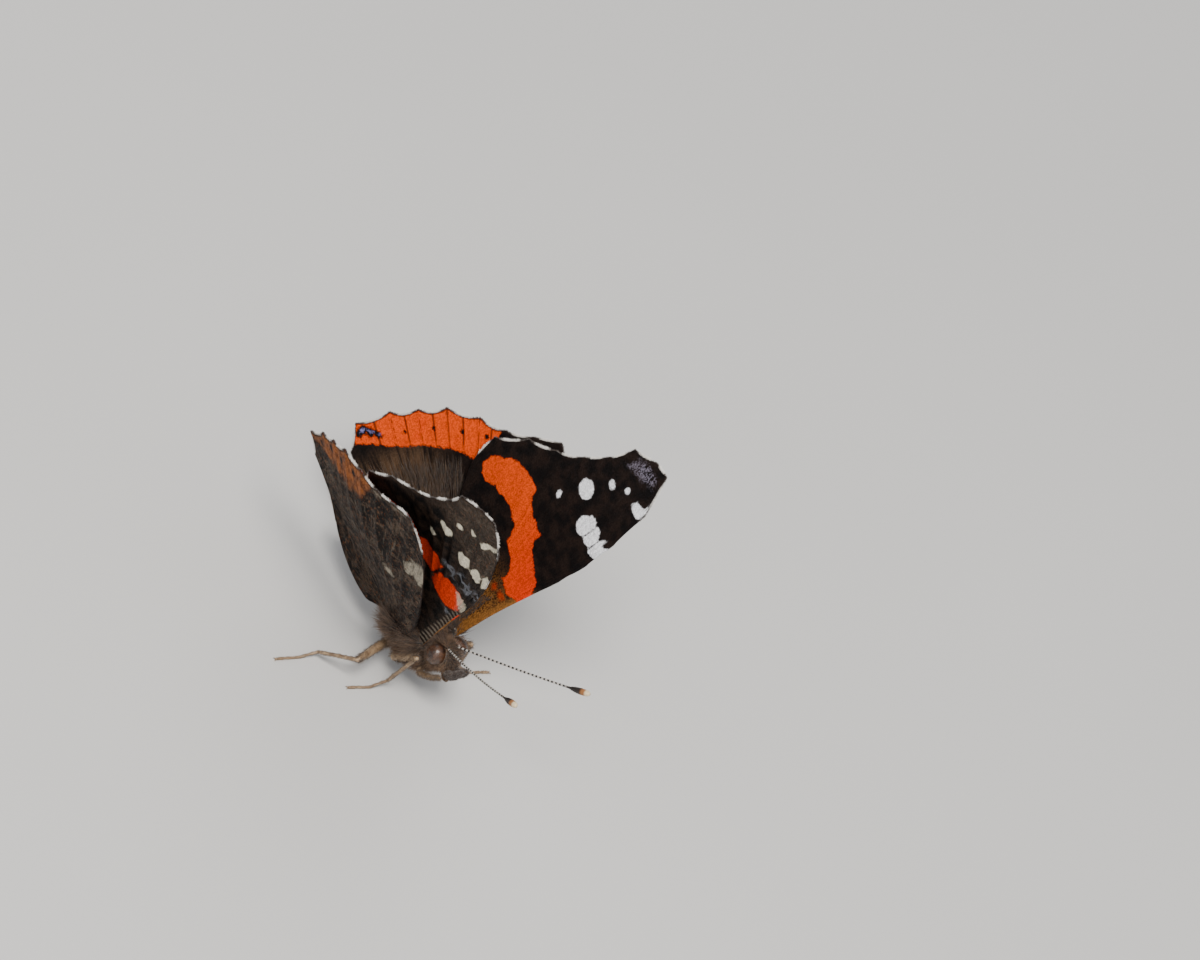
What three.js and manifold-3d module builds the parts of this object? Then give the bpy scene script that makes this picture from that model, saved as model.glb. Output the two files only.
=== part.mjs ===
// Red admiral butterfly, Vanessa atalanta, as a still life-size model.
// Millimetres, +Z up, the head toward -Y and the left side toward +X.
// Every place is given as (ahead, side, up) from the point midway between the forewing hinges.

import * as THREE from "three";
import manifoldModule from "manifold-3d";

const wasm = await manifoldModule();
wasm.setup();
const { Manifold, Mesh: ManifoldMesh } = wasm;

// Driving dimensions

const STAND_HEIGHT = 6.2; // forewing hinges above the soles of the feet
const MEET_GAP = 0.3; // between a node and the node that it grows from
const MEMBRANE_HALF = 0.25; // half the thickness of a wing between its veins
const VEIN_RISE = 0.09; // how far a vein stands out of each face of its wing
const RING_SIDES = 10; // sides of a leg, palp or antenna

const THORAX = { ahead: -1.2, up: -1.5, length: 6.4, width: 4.3, height: 4.9, front: 1.45, rear: -4.0 };
const HEAD = { ahead: 2.35, up: 0.1, length: 2.6, width: 2.9, height: 3.0 };
const EYE = { radius: 1.02, ahead: 2.15, up: 0.5, flat: 1.3 };
const ABDOMEN = { end: -15.2, startUp: -1.6, endUp: -0.35, radius: 1.62, segments: 8 };
const ANTENNA = { radius: 0.25, clubRadius: 0.52, clubShare: 0.86, base: [2.8, 0.5, 1.75] };

const LOOKS = {
  thorax: { color: 0x4a3a2c, roughness: 0.9 },
  head: { color: 0x5b4634, roughness: 0.9 },
  abdomen: { color: 0x3d2f26, roughness: 0.85 },
  eye: { color: 0x4b2c1a, roughness: 0.25 },
  palp: { color: 0x6e6259, roughness: 0.9 },
  antenna: { color: 0x1d1814, roughness: 0.6 },
  proboscis: { color: 0x3a2a1c, roughness: 0.5 },
  leg: { color: 0x8a6a4c, roughness: 0.7 },
  forewing: { color: 0x2a211d, roughness: 0.75 },
  hindwing: { color: 0x3a2c24, roughness: 0.75 },
};

// Shared helpers

const LEFT = 1;
const RIGHT = -1;

/** A point of the part from its distance ahead, to the side and up. */
function at(ahead, side, up) {
  return new THREE.Vector3(side, -ahead, up);
}

function finish(name) {
  return new THREE.MeshStandardMaterial({ metalness: 0, ...LOOKS[name] });
}

function solid(name, geometry, look) {
  const mesh = new THREE.Mesh(geometry, finish(look));
  mesh.name = name;
  return mesh;
}

/** Builds a geometry from corner points and triangles, turned inside out when the side asks it. */
function facets(points, triangles, flip = false) {
  const positions = new Float32Array(points.flatMap((point) => [point.x, point.y, point.z]));
  const index = triangles.flatMap(([a, b, c]) => (flip ? [a, c, b] : [a, b, c]));
  const geometry = new THREE.BufferGeometry();
  geometry.setAttribute("position", new THREE.BufferAttribute(positions, 3));
  geometry.setIndex(index);
  geometry.computeVertexNormals();
  return geometry;
}

function toManifold(geometry) {
  const positions = geometry.getAttribute("position");
  const seen = new Map();
  const vertices = [];
  const remap = [];
  for (let i = 0; i < positions.count; i += 1) {
    const point = [positions.getX(i), positions.getY(i), positions.getZ(i)];
    const key = point.map((value) => Math.round(value * 1e5)).join(",");
    if (!seen.has(key)) {
      seen.set(key, vertices.length / 3);
      vertices.push(...point);
    }
    remap.push(seen.get(key));
  }
  const order = geometry.index ? Array.from(geometry.index.array) : remap.map((_, i) => i);
  const triangles = [];
  for (let i = 0; i < order.length; i += 3) {
    const corners = [remap[order[i]], remap[order[i + 1]], remap[order[i + 2]]];
    if (new Set(corners).size === 3) triangles.push(...corners);
  }
  return new Manifold(new ManifoldMesh({
    numProp: 3,
    vertProperties: new Float32Array(vertices),
    triVerts: new Uint32Array(triangles),
  }));
}

function fromManifold(body) {
  const mesh = body.getMesh();
  const geometry = new THREE.BufferGeometry();
  geometry.setAttribute("position", new THREE.BufferAttribute(new Float32Array(mesh.vertProperties), 3));
  geometry.setIndex(Array.from(mesh.triVerts));
  geometry.computeVertexNormals();
  return geometry;
}

/**
 * A tapering tube through points, with a ring at each and a flat cap at each end.
 * The end rings face along startNormal and endNormal where these are given.
 */
function limb(points, radii, { startNormal, endNormal, sides = RING_SIDES, squash = 1 } = {}) {
  const last = points.length - 1;
  const along = points.map((point, i) => {
    const before = points[Math.max(i - 1, 0)];
    const after = points[Math.min(i + 1, last)];
    return after.clone().sub(before).normalize();
  });
  if (startNormal) along[0] = startNormal.clone().normalize();
  if (endNormal) along[last] = endNormal.clone().normalize();
  const reference = Math.abs(along[0].z) > 0.9 ? new THREE.Vector3(0, 1, 0) : new THREE.Vector3(0, 0, 1);
  const across = reference.cross(along[0]).normalize();
  const corners = [];
  points.forEach((point, i) => {
    across.addScaledVector(along[i], -across.dot(along[i])).normalize(); // carried on without twist
    const over = along[i].clone().cross(across).normalize();
    for (let k = 0; k < sides; k += 1) {
      const angle = (2 * Math.PI * k) / sides;
      corners.push(point.clone()
        .addScaledVector(across, radii[i] * Math.cos(angle))
        .addScaledVector(over, radii[i] * squash * Math.sin(angle)));
    }
  });
  const triangles = [];
  for (let i = 0; i < last; i += 1) {
    for (let k = 0; k < sides; k += 1) {
      const next = (k + 1) % sides;
      const a = i * sides + k;
      const b = i * sides + next;
      triangles.push([a, b, b + sides], [a, b + sides, a + sides]);
    }
  }
  for (let k = 1; k < sides - 1; k += 1) {
    triangles.push([0, k + 1, k]);
    triangles.push([last * sides, last * sides + k, last * sides + k + 1]);
  }
  return facets(corners, triangles);
}

/** Points spread evenly along a smooth curve through the given ones. */
function smooth(points, count) {
  return new THREE.CatmullRomCurve3(points, false, "centripetal").getPoints(count);
}

function ellipsoid(centre, length, width, height, around, along) {
  const geometry = new THREE.SphereGeometry(0.5, around, along);
  geometry.rotateX(Math.PI / 2);
  geometry.rotateX(Math.PI / 2);
  geometry.scale(width, length, height);
  geometry.translate(centre.x, centre.y, centre.z);
  return geometry;
}

// Wings

// Each line runs from the hinge to the margin: end and pull are (ahead, out) in the plane of
// the wing, pull being the middle handle of the curve. A vein stands out from the share "from"
// of its line on, and "dip" is how far the margin falls in between it and the next line.
const FOREWING_LINES = [
  { vein: "subcosta", end: [5.65, 13.8], pull: [2.75, 6.5], from: 0, dip: 0 },
  { vein: "radius 1", end: [6.75, 17.5], pull: [3.3, 8.4], from: 0, dip: 0 },
  { vein: "radius 2", end: [7.45, 21.2], pull: [3.8, 10.4], from: 0.55, dip: 0 },
  { vein: "radius 3", end: [7.85, 25.8], pull: [4.2, 12.6], from: 0.5, dip: -0.12 },
  { vein: "radius 4", end: [6.75, 30.0], pull: [4.0, 14.6], from: 0.48, dip: 0.05 },
  { vein: "radius 5", end: [4.95, 29.85], pull: [3.2, 14.3], from: 0.48, dip: 0.15 },
  { vein: "media 1", end: [2.15, 28.5], pull: [2.3, 13.8], from: 0.48, dip: 0.45 },
  { vein: "media 2", end: [0.65, 25.7], pull: [1.4, 12.4], from: 0.5, dip: 0.2 },
  { vein: "media 3", end: [-1.4, 23.3], pull: [0.7, 11.0], from: 0.5, dip: 0.3 },
  { vein: "cubitus 1", end: [-4.15, 21.0], pull: [0.1, 9.6], from: 0.34, dip: 0.25 },
  { vein: "cubitus 2", end: [-7.3, 19.0], pull: [-0.8, 8.0], from: 0.22, dip: 0.3 },
  { vein: "anal vein", end: [-10.35, 15.8], pull: [-3.6, 6.6], from: 0, dip: 0 },
  { vein: "inner margin", end: [-10.55, 12.4], pull: [-9.3, 7.4], from: 0, dip: 0 },
];

const HINDWING_LINES = [
  { vein: "humeral", end: [2.4, 10.4], pull: [3.1, 4.6], from: 0, dip: -0.3 },
  { vein: "subcosta", end: [0.6, 18.3], pull: [2.0, 8.6], from: 0, dip: -0.25 },
  { vein: "radius", end: [-3.2, 20.9], pull: [0.5, 9.6], from: 0.2, dip: 0.1 },
  { vein: "media 1", end: [-5.6, 19.0], pull: [-0.8, 9.4], from: 0.4, dip: 0.3 },
  { vein: "media 2", end: [-8.0, 17.1], pull: [-2.2, 8.6], from: 0.45, dip: 0.35 },
  { vein: "media 3", end: [-10.75, 15.75], pull: [-3.4, 7.8], from: 0.45, dip: 0.35 },
  { vein: "cubitus 1", end: [-13.75, 13.7], pull: [-4.8, 6.6], from: 0.38, dip: 0.4 },
  { vein: "cubitus 2", end: [-15.7, 11.2], pull: [-6.0, 5.2], from: 0.25, dip: 0.4 },
  { vein: "anal vein 2", end: [-17.5, 8.75], pull: [-7.4, 3.8], from: 0.15, dip: 0.35 },
  { vein: "anal vein 3", end: [-19.1, 5.25], pull: [-8.8, 1.9], from: 0.1, dip: 0.3 },
  { vein: "inner corner", end: [-17.4, 3.0], pull: [-8.4, 0.2], from: 1, dip: -0.1 },
  { vein: "inner margin", end: [-13.6, 1.9], pull: [-6.6, -2.7], from: 0, dip: 0 },
];

const LINE_SHARES = [0.22, 0.5, 0.78]; // where extra lines run between two veins
const WING_RINGS = 11; // steps from the hinge to the margin
const ROOT_HALF_WIDTH = 0.85;
const ROOT_OUT = 0.95; // the wing starts this far out along its own plane
const SOCKET_OUT = ROOT_OUT - MEET_GAP;

/** Forewing camber: its middle is drawn in toward the other wing. */
function forewingBend(ahead, out) {
  const span = Math.min(Math.max(out / 30, 0), 1);
  return -0.6 * Math.sin(Math.PI * span) * (0.6 - 0.03 * ahead);
}

/** Hindwing shape: it swells over the forewing's inner margin and flares round the abdomen. */
function hindwingBend(ahead, out, amount) {
  const swell = amount * Math.exp(-((ahead + 7.5) ** 2 + (out - 10.5) ** 2) / 45);
  const drop = Math.max(2.2 - out, 0) * Math.min(Math.max((-ahead - 1) / 2.5, 0), 1);
  const flare = (0.42 * drop * drop) / (drop + 1.2);
  return swell + flare;
}

const WINGS = {
  forewing_left: {
    side: LEFT, lines: FOREWING_LINES, bend: forewingBend, look: "forewing",
    hinge: [0, 1.9, 0], lean: 17.1, toe: 7.6, sweep: 0,
  },
  forewing_right: {
    side: RIGHT, lines: FOREWING_LINES, bend: forewingBend, look: "forewing",
    hinge: [0, 1.9, 0], lean: 16.9, toe: 7.7, sweep: 0,
  },
  hindwing_left: {
    side: LEFT, lines: HINDWING_LINES, bend: hindwingBend, look: "hindwing",
    hinge: [-2.6, 2.55, -0.9], lean: 23.7, toe: -8.35, sweep: 0, swell: 0.6,
  },
  hindwing_right: {
    side: RIGHT, lines: HINDWING_LINES, bend: hindwingBend, look: "hindwing",
    hinge: [-2.6, 2.55, -0.9], lean: 19.4, toe: -3.0, sweep: -10.7, swell: 1.4,
  },
};

/** The wing's own directions: outward normal, ahead and out along its plane. */
function wingAxes({ side, lean, toe }) {
  const tilt = THREE.MathUtils.degToRad(lean);
  const turn = THREE.MathUtils.degToRad(toe);
  const outward = at(Math.cos(tilt) * Math.sin(turn), side * Math.cos(tilt) * Math.cos(turn), -Math.sin(tilt));
  const forward = at(1, 0, 0);
  const ahead = forward.addScaledVector(outward, -forward.dot(outward)).normalize();
  const out = new THREE.Vector3().crossVectors(outward, ahead).multiplyScalar(side);
  if (out.z < 0) out.negate();
  return { outward, ahead, out };
}

/** Turns (ahead, out, outward) of a wing, with its sweep, into a point of the part. */
function wingPlacer(wing) {
  const axes = wingAxes(wing);
  const sweep = THREE.MathUtils.degToRad(wing.sweep);
  const [hingeAhead, hingeSide, hingeUp] = wing.hinge;
  const hinge = at(hingeAhead, wing.side * hingeSide, hingeUp);
  return (ahead, out, outward) => {
    const turnedAhead = ahead * Math.cos(sweep) - out * Math.sin(sweep);
    const turnedOut = ahead * Math.sin(sweep) + out * Math.cos(sweep);
    return hinge.clone()
      .addScaledVector(axes.ahead, turnedAhead)
      .addScaledVector(axes.out, turnedOut)
      .addScaledVector(axes.outward, outward);
  };
}

/** All lines of a wing with those between the veins, each as root, pull, end and vein strength. */
function gridLines(lines) {
  const grid = [];
  const rootAt = (share) => [ROOT_HALF_WIDTH * (1 - 2 * share), ROOT_OUT];
  const mix = (a, b, t) => a.map((value, k) => value + (b[k] - value) * t);
  lines.forEach((line, i) => {
    const share = i / (lines.length - 1);
    grid.push({ root: rootAt(share), pull: line.pull, end: line.end, from: line.from });
    const next = lines[i + 1];
    if (!next) return;
    LINE_SHARES.forEach((t) => {
      const end = mix(line.end, next.end, t);
      const inward = 1 - (line.dip * 4 * t * (1 - t)) / Math.hypot(...end);
      grid.push({
        root: rootAt(share + t / (lines.length - 1)),
        pull: mix(line.pull, next.pull, t),
        end: end.map((value) => value * inward),
        from: null,
      });
    });
  });
  return grid;
}

function linePoint({ root, pull, end }, t) {
  const s = 1 - t;
  return [0, 1].map((k) => s * s * root[k] + 2 * s * t * pull[k] + t * t * end[k]);
}

function veinRise(line, t) {
  if (line.from === null || t < line.from) return 0;
  return VEIN_RISE * (1 - 0.6 * t);
}

/** A thin closed wing: the same grid of triangles on both faces and a rim round them. */
function wingGeometry(wing) {
  const place = wingPlacer(wing);
  const grid = gridLines(wing.lines);
  const columns = grid.length;
  const rows = WING_RINGS + 1;
  const face = columns * rows;
  const points = [];
  [1, -1].forEach((facing) => {
    grid.forEach((line) => {
      for (let row = 0; row < rows; row += 1) {
        const t = row / WING_RINGS;
        const [ahead, out] = linePoint(line, t);
        const half = MEMBRANE_HALF + veinRise(line, t);
        points.push(place(ahead, out, wing.bend(ahead, out, wing.swell) * Math.min(1, t * 4) + facing * half));
      }
    });
  });
  const triangles = [];
  const corner = (column, row) => column * rows + row;
  for (let column = 0; column < columns - 1; column += 1) {
    for (let row = 0; row < rows - 1; row += 1) {
      const a = corner(column, row);
      const b = corner(column + 1, row);
      triangles.push([a, b, b + 1], [a, b + 1, a + 1]);
      triangles.push([face + a, face + b + 1, face + b], [face + a, face + a + 1, face + b + 1]);
    }
  }
  const rim = [];
  for (let row = 0; row < rows; row += 1) rim.push(corner(0, row));
  for (let column = 1; column < columns; column += 1) rim.push(corner(column, rows - 1));
  for (let row = rows - 2; row >= 0; row -= 1) rim.push(corner(columns - 1, row));
  for (let column = columns - 2; column > 0; column -= 1) rim.push(corner(column, 0));
  rim.forEach((a, i) => {
    const b = rim[(i + 1) % rim.length];
    triangles.push([a, b, face + b], [a, face + b, face + a]);
  });
  return facets(points, triangles, wing.side === RIGHT);
}

/** The block of the thorax that a wing's root faces across the gap. */
function wingSocket(wing) {
  const place = wingPlacer(wing);
  const reach = 1.7;
  const box = [];
  [-1, 1].forEach((outward) => {
    [-1, 1].forEach((ahead) => {
      [SOCKET_OUT - reach, SOCKET_OUT].forEach((out) => {
        const width = ROOT_HALF_WIDTH + (out < 0 ? 0.5 : 0.05);
        box.push(place(ahead * width, out, outward * (out < 0 ? 0.7 : 0.42)));
      });
    });
  });
  return Manifold.hull(box.map((point) => [point.x, point.y, point.z]));
}

// Body

const COXAE = { foreleg: [0.7, 0.6, -2.4], midleg: [-1.6, 0.8, -2.9], hindleg: [-2.6, 0.9, -2.7] };
const FORELEG = [[1.5, 1.1, -3.4], [2.95, 1.35, -2.3], [3.75, 1.1, -1.45]];
const COXA_RADIUS = 0.55;

// Each leg as the ends of its stretches: hip, knee, ankle and claw. The feet rest on the floor.
const SOLE = -STAND_HEIGHT;
const TARSUS_RADIUS = 0.27;
const FOOT = SOLE + TARSUS_RADIUS;
const LEGS = {
  midleg_right: { hip: [-1.0, 2.3, -3.5], knee: [1.85, 3.15, 0.15], ankle: [0.35, 3.35, -5.1], claw: [-0.6, 6.9, FOOT] },
  midleg_left: { hip: [-1.0, 2.3, -3.5], knee: [1.7, 3.6, -0.4], ankle: [0.9, 4.6, -5.1], claw: [1.9, 8.0, FOOT] },
  hindleg_right: { hip: [-2.9, 2.1, -3.65], knee: [-1.5, 6.5, -3.1], ankle: [-4.8, 8.1, -5.45], claw: [-5.6, 12.2, FOOT] },
  hindleg_left: { hip: [-2.9, 2.1, -3.65], knee: [-4.2, 6.0, -2.6], ankle: [-7.6, 7.6, -5.45], claw: [-9.6, 10.9, FOOT] },
};
const FEMUR_RADII = [0.5, 0.55, 0.46, 0.3];
const TIBIA_RADII = [0.29, 0.3, 0.28];
const SHARP_FOLD = -0.3; // cosine of the turn past which a knee gets a cap
const KNEE_CAP = 0.33;

const PALP_POINTS = [[3.92, 0.56, -0.55], [4.4, 0.56, -0.25], [4.8, 0.42, 0.3], [5.05, 0.3, 0.85]];
const PROBOSCIS = { centre: [3.2, -2.25], outer: 0.8, inner: 0.28, turns: 1.4, radius: 0.2 };
const ANTENNA_TIPS = { [LEFT]: [15.2, 4.8, 8.7], [RIGHT]: [14.8, -4.0, 9.7] };

function sidePoint([ahead, side, up], sign) {
  return at(ahead, sign * side, up);
}

function legPoints(name) {
  const sign = name.endsWith("left") ? LEFT : RIGHT;
  const { hip, knee, ankle, claw } = LEGS[name];
  return [COXAE[name.split("_")[0]], hip, knee, ankle, claw].map((place) => sidePoint(place, sign));
}

/** The direction halfway between the stretch that comes in and the one that goes out. */
function halfway(before, middle, after) {
  const incoming = middle.clone().sub(before).normalize();
  const outgoing = after.clone().sub(middle).normalize();
  return incoming.add(outgoing).normalize();
}

/** Points spread evenly from one place to another. */
function spread(from, to, count) {
  return Array.from({ length: count }, (_, i) => from.clone().lerp(to, i / (count - 1)));
}

/** A knee folded back sharply gets a short cap, so that both faces at the gap stay square. */
function kneeCap([, hip, knee, ankle]) {
  const fold = knee.clone().sub(hip).normalize().dot(ankle.clone().sub(knee).normalize());
  return fold < SHARP_FOLD ? KNEE_CAP : 0;
}

function femur(name) {
  const points = legPoints(name);
  const [coxa, hip, knee, ankle] = points;
  const startNormal = halfway(coxa, hip, knee);
  const endNormal = halfway(hip, knee, ankle);
  const cap = kneeCap(points);
  const from = hip.clone().addScaledVector(startNormal, MEET_GAP / 2);
  const to = cap ? knee : knee.clone().addScaledVector(endNormal, -MEET_GAP / 2);
  const path = spread(from, to, FEMUR_RADII.length);
  const radii = [...FEMUR_RADII];
  if (cap) {
    path.push(knee.clone().addScaledVector(endNormal, cap));
    radii.push(FEMUR_RADII.at(-1));
  }
  return limb(path, radii, { startNormal, endNormal });
}

function tibia(name) {
  const points = legPoints(name);
  const [, hip, knee, ankle, claw] = points;
  const startNormal = halfway(hip, knee, ankle);
  const endNormal = halfway(knee, ankle, claw);
  const cap = kneeCap(points);
  const from = knee.clone().addScaledVector(startNormal, cap ? cap + MEET_GAP : MEET_GAP / 2);
  const corner = from.clone().addScaledVector(startNormal, cap);
  const to = ankle.clone().addScaledVector(endNormal, -MEET_GAP / 2);
  const path = [...(cap ? [from] : []), ...spread(cap ? corner : from, to, TIBIA_RADII.length)];
  const radii = [...(cap ? [TIBIA_RADII[0]] : []), ...TIBIA_RADII];
  return limb(path, radii, { startNormal, endNormal });
}

/** The foot: a slope from the ankle to the floor, then a length that lies flat on it. */
function tarsus(name) {
  const [, , knee, ankle, claw] = legPoints(name);
  const start = halfway(knee, ankle, claw);
  const from = ankle.clone().addScaledVector(start, MEET_GAP / 2);
  const touch = ankle.clone().lerp(claw, 0.42).setZ(FOOT);
  const near = touch.clone().lerp(claw, 0.12);
  const far = touch.clone().lerp(claw, 0.86);
  const tube = limb([from, touch, near, far, claw], [0.26, 0.27, 0.27, 0.26, 0.2], { startNormal: start });
  const sole = new THREE.BoxGeometry(0.34, near.distanceTo(far), TARSUS_RADIUS);
  sole.rotateZ(Math.atan2(-(far.x - near.x), far.y - near.y));
  const middle = near.clone().lerp(far, 0.5);
  sole.translate(middle.x, middle.y, SOLE + TARSUS_RADIUS / 2);
  const body = Manifold.union([toManifold(tube), toManifold(sole)]);
  return fromManifold(body.trimByPlane([0, 0, 1], SOLE).simplify(0.002));
}

/** The small brush-footed foreleg, folded against the breast. */
function foreleg(side) {
  const [coxa, hip, knee, foot] = [COXAE.foreleg, ...FORELEG].map((place) => sidePoint(place, side));
  const start = halfway(coxa, hip, knee);
  const from = hip.clone().addScaledVector(start, MEET_GAP / 2);
  const points = [from, from.clone().lerp(knee, 0.6), knee, knee.clone().lerp(foot, 0.5), foot];
  return limb(points, [0.34, 0.36, 0.32, 0.3, 0.18], { startNormal: start });
}

/** The stub of the thorax or head that a limb faces across the gap. */
function stub(inside, hip, direction, radius) {
  const end = hip.clone().addScaledVector(direction, -MEET_GAP / 2);
  const between = inside.clone().lerp(end, 0.6);
  return toManifold(limb([inside, between, end], [radius * 1.1, radius, radius], { endNormal: direction }));
}

function thoraxGeometry() {
  const { ahead, up, length, width, height, front, rear } = THORAX;
  const pieces = [toManifold(ellipsoid(at(ahead, 0, up), length, width, height, 20, 14))];
  Object.values(WINGS).forEach((wing) => pieces.push(wingSocket(wing)));
  Object.keys(LEGS).forEach((name) => {
    const [coxa, hip, knee] = legPoints(name);
    pieces.push(stub(coxa, hip, halfway(coxa, hip, knee), COXA_RADIUS));
  });
  [LEFT, RIGHT].forEach((side) => {
    const [coxa, hip, knee] = [COXAE.foreleg, ...FORELEG].map((place) => sidePoint(place, side));
    pieces.push(stub(coxa, hip, halfway(coxa, hip, knee), 0.4));
  });
  const whole = Manifold.union(pieces);
  return fromManifold(whole.trimByPlane([0, 1, 0], -front).trimByPlane([0, -1, 0], rear).simplify(0.004));
}

/** The abdomen: a tapering row of rings, each a little fuller in its middle. */
function abdomenGeometry() {
  const { end, startUp, endUp, radius, segments } = ABDOMEN;
  const start = THORAX.rear - MEET_GAP;
  const steps = segments * 2;
  const points = [];
  const radii = [];
  for (let i = 0; i <= steps; i += 1) {
    const t = i / steps;
    const taper = Math.sqrt(Math.max(1 - ((t - 0.3) / 0.74) ** 2, 0.03));
    const crease = i % 2 === 0 ? 0.95 : 1;
    points.push(at(start + (end - start) * t, 0, startUp + (endUp - startUp) * t ** 1.5));
    radii.push(radius * Math.min(taper, 1) * crease * (t < 0.08 ? 0.9 : 1));
  }
  return limb(points, radii, { sides: 16, squash: 1.05, startNormal: at(-1, 0, 0) });
}

function antennaPoints(side) {
  const base = sidePoint(ANTENNA.base, side);
  const tip = at(...ANTENNA_TIPS[side]);
  const direction = tip.clone().sub(base).normalize();
  return { base, tip, direction };
}

/** The head, flat where the eyes and the thorax meet it, with a stub under each antenna. */
function headGeometry() {
  const { ahead, up, length, width, height } = HEAD;
  const pieces = [toManifold(ellipsoid(at(ahead, 0, up), length, width, height, 18, 12))];
  [LEFT, RIGHT].forEach((side) => {
    const { base, direction } = antennaPoints(side);
    pieces.push(stub(at(ahead + 0.2, side * 0.4, up + 0.6), base, direction, 0.34));
  });
  const flat = EYE.flat - MEET_GAP;
  return fromManifold(Manifold.union(pieces)
    .trimByPlane([0, -1, 0], THORAX.front + MEET_GAP)
    .trimByPlane([1, 0, 0], -flat)
    .trimByPlane([-1, 0, 0], -flat)
    .simplify(0.004));
}

function eyeGeometry(side) {
  const { radius, ahead, up, flat } = EYE;
  const ball = toManifold(ellipsoid(at(ahead, side * flat, up), radius * 2, radius * 2, radius * 2.15, 20, 14));
  return fromManifold(ball.trimByPlane([side, 0, 0], flat).simplify(0.002));
}

function antennaGeometry(side) {
  const { base, tip, direction } = antennaPoints(side);
  const start = base.clone().addScaledVector(direction, MEET_GAP / 2);
  const steps = 12;
  const points = [];
  const radii = [];
  for (let i = 0; i <= steps; i += 1) {
    const t = i / steps;
    const sag = at(0, side * 0.12, -0.25).multiplyScalar(Math.sin(Math.PI * t));
    points.push(start.clone().lerp(tip, t).add(sag));
    const club = Math.max((t - ANTENNA.clubShare + 0.06) / (1.06 - ANTENNA.clubShare), 0);
    const swell = club > 0 ? Math.sin(Math.PI * Math.min(0.12 + club * 0.8, 1)) : 0;
    radii.push(ANTENNA.radius + (ANTENNA.clubRadius - ANTENNA.radius) * swell);
  }
  return limb(points, radii, { startNormal: direction, sides: 8 });
}

function palpGeometry(side) {
  const points = smooth(PALP_POINTS.map((place) => sidePoint(place, side)), 5);
  return limb(points, [0.36, 0.42, 0.42, 0.36, 0.27, 0.14], { startNormal: at(1, 0, 0.3) });
}

/** The tongue, rolled up like a watch spring under the head. */
function proboscisGeometry() {
  const { centre, outer, inner, turns, radius } = PROBOSCIS;
  const steps = 22;
  const points = [];
  for (let i = 0; i <= steps; i += 1) {
    const t = i / steps;
    const angle = Math.PI / 2 - 2 * Math.PI * turns * t;
    const reach = outer + (inner - outer) * t;
    points.push(at(centre[0] + reach * Math.cos(angle), 0, centre[1] + reach * Math.sin(angle)));
  }
  const radii = points.map((_, i) => radius * (1 - (0.35 * i) / steps));
  return limb(points, radii, { sides: 8 });
}

// Assembly

const insect = new THREE.Group();
insect.add(solid("thorax", thoraxGeometry(), "thorax"));
insect.add(solid("head", headGeometry(), "head"));
insect.add(solid("abdomen", abdomenGeometry(), "abdomen"));
insect.add(solid("proboscis", proboscisGeometry(), "proboscis"));
[[LEFT, "left"], [RIGHT, "right"]].forEach(([side, word]) => {
  insect.add(solid(`eye_${word}`, eyeGeometry(side), "eye"));
  insect.add(solid(`palp_${word}`, palpGeometry(side), "palp"));
  insect.add(solid(`antenna_${word}`, antennaGeometry(side), "antenna"));
  insect.add(solid(`foreleg_${word}`, foreleg(side), "leg"));
});
Object.entries(WINGS).forEach(([name, wing]) => {
  insect.add(solid(name, wingGeometry(wing), wing.look));
});
Object.keys(LEGS).forEach((name) => {
  insect.add(solid(`${name}_femur`, femur(name), "leg"));
  insect.add(solid(`${name}_tibia`, tibia(name), "leg"));
  insect.add(solid(`${name}_tarsus`, tarsus(name), "leg"));
});

// The finished part stands on z = 0 with the middle of its box over the origin.
const reach = new THREE.Box3().setFromObject(insect);
const middle = reach.getCenter(new THREE.Vector3());
insect.position.set(-middle.x, -middle.y, STAND_HEIGHT);

const butterfly = new THREE.Group();
butterfly.add(insect);
butterfly.updateMatrixWorld(true);

export default butterfly;
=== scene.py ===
"""Looks of a red admiral butterfly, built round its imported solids.

Lengths in this file are millimetres, given as (ahead, side, up) from the point midway between
the forewing hinges, and turned into metres of the frame by Stance.point.
"""

import logging
import math
from dataclasses import dataclass, field
from enum import Enum
from typing import Callable, Sequence

import bmesh
import bpy
import numpy as np
from mathutils import Matrix, Vector

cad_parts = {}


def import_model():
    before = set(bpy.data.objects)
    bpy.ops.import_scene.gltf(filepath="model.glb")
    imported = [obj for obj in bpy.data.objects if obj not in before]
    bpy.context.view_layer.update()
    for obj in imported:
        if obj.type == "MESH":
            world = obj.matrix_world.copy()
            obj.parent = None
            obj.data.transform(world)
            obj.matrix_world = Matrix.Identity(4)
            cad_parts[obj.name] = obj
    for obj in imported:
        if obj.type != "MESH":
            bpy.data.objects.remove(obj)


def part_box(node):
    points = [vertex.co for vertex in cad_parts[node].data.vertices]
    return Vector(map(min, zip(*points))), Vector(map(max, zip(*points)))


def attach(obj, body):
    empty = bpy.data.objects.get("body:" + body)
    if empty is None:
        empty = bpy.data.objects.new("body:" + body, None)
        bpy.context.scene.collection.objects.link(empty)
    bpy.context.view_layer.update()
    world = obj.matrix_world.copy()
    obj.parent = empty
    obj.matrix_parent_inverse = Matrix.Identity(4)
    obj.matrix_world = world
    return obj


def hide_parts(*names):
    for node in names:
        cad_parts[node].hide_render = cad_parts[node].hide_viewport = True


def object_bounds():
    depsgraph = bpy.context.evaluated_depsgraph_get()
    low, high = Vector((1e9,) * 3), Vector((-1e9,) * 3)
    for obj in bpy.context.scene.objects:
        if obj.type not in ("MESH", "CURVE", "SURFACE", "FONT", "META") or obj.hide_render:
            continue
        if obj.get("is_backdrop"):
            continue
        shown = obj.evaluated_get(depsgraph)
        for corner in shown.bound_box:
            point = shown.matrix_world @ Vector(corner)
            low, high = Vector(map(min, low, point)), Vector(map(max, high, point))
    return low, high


MM = 0.001
STAND_HEIGHT = 6.2  # forewing hinges above the soles of the feet
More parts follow.
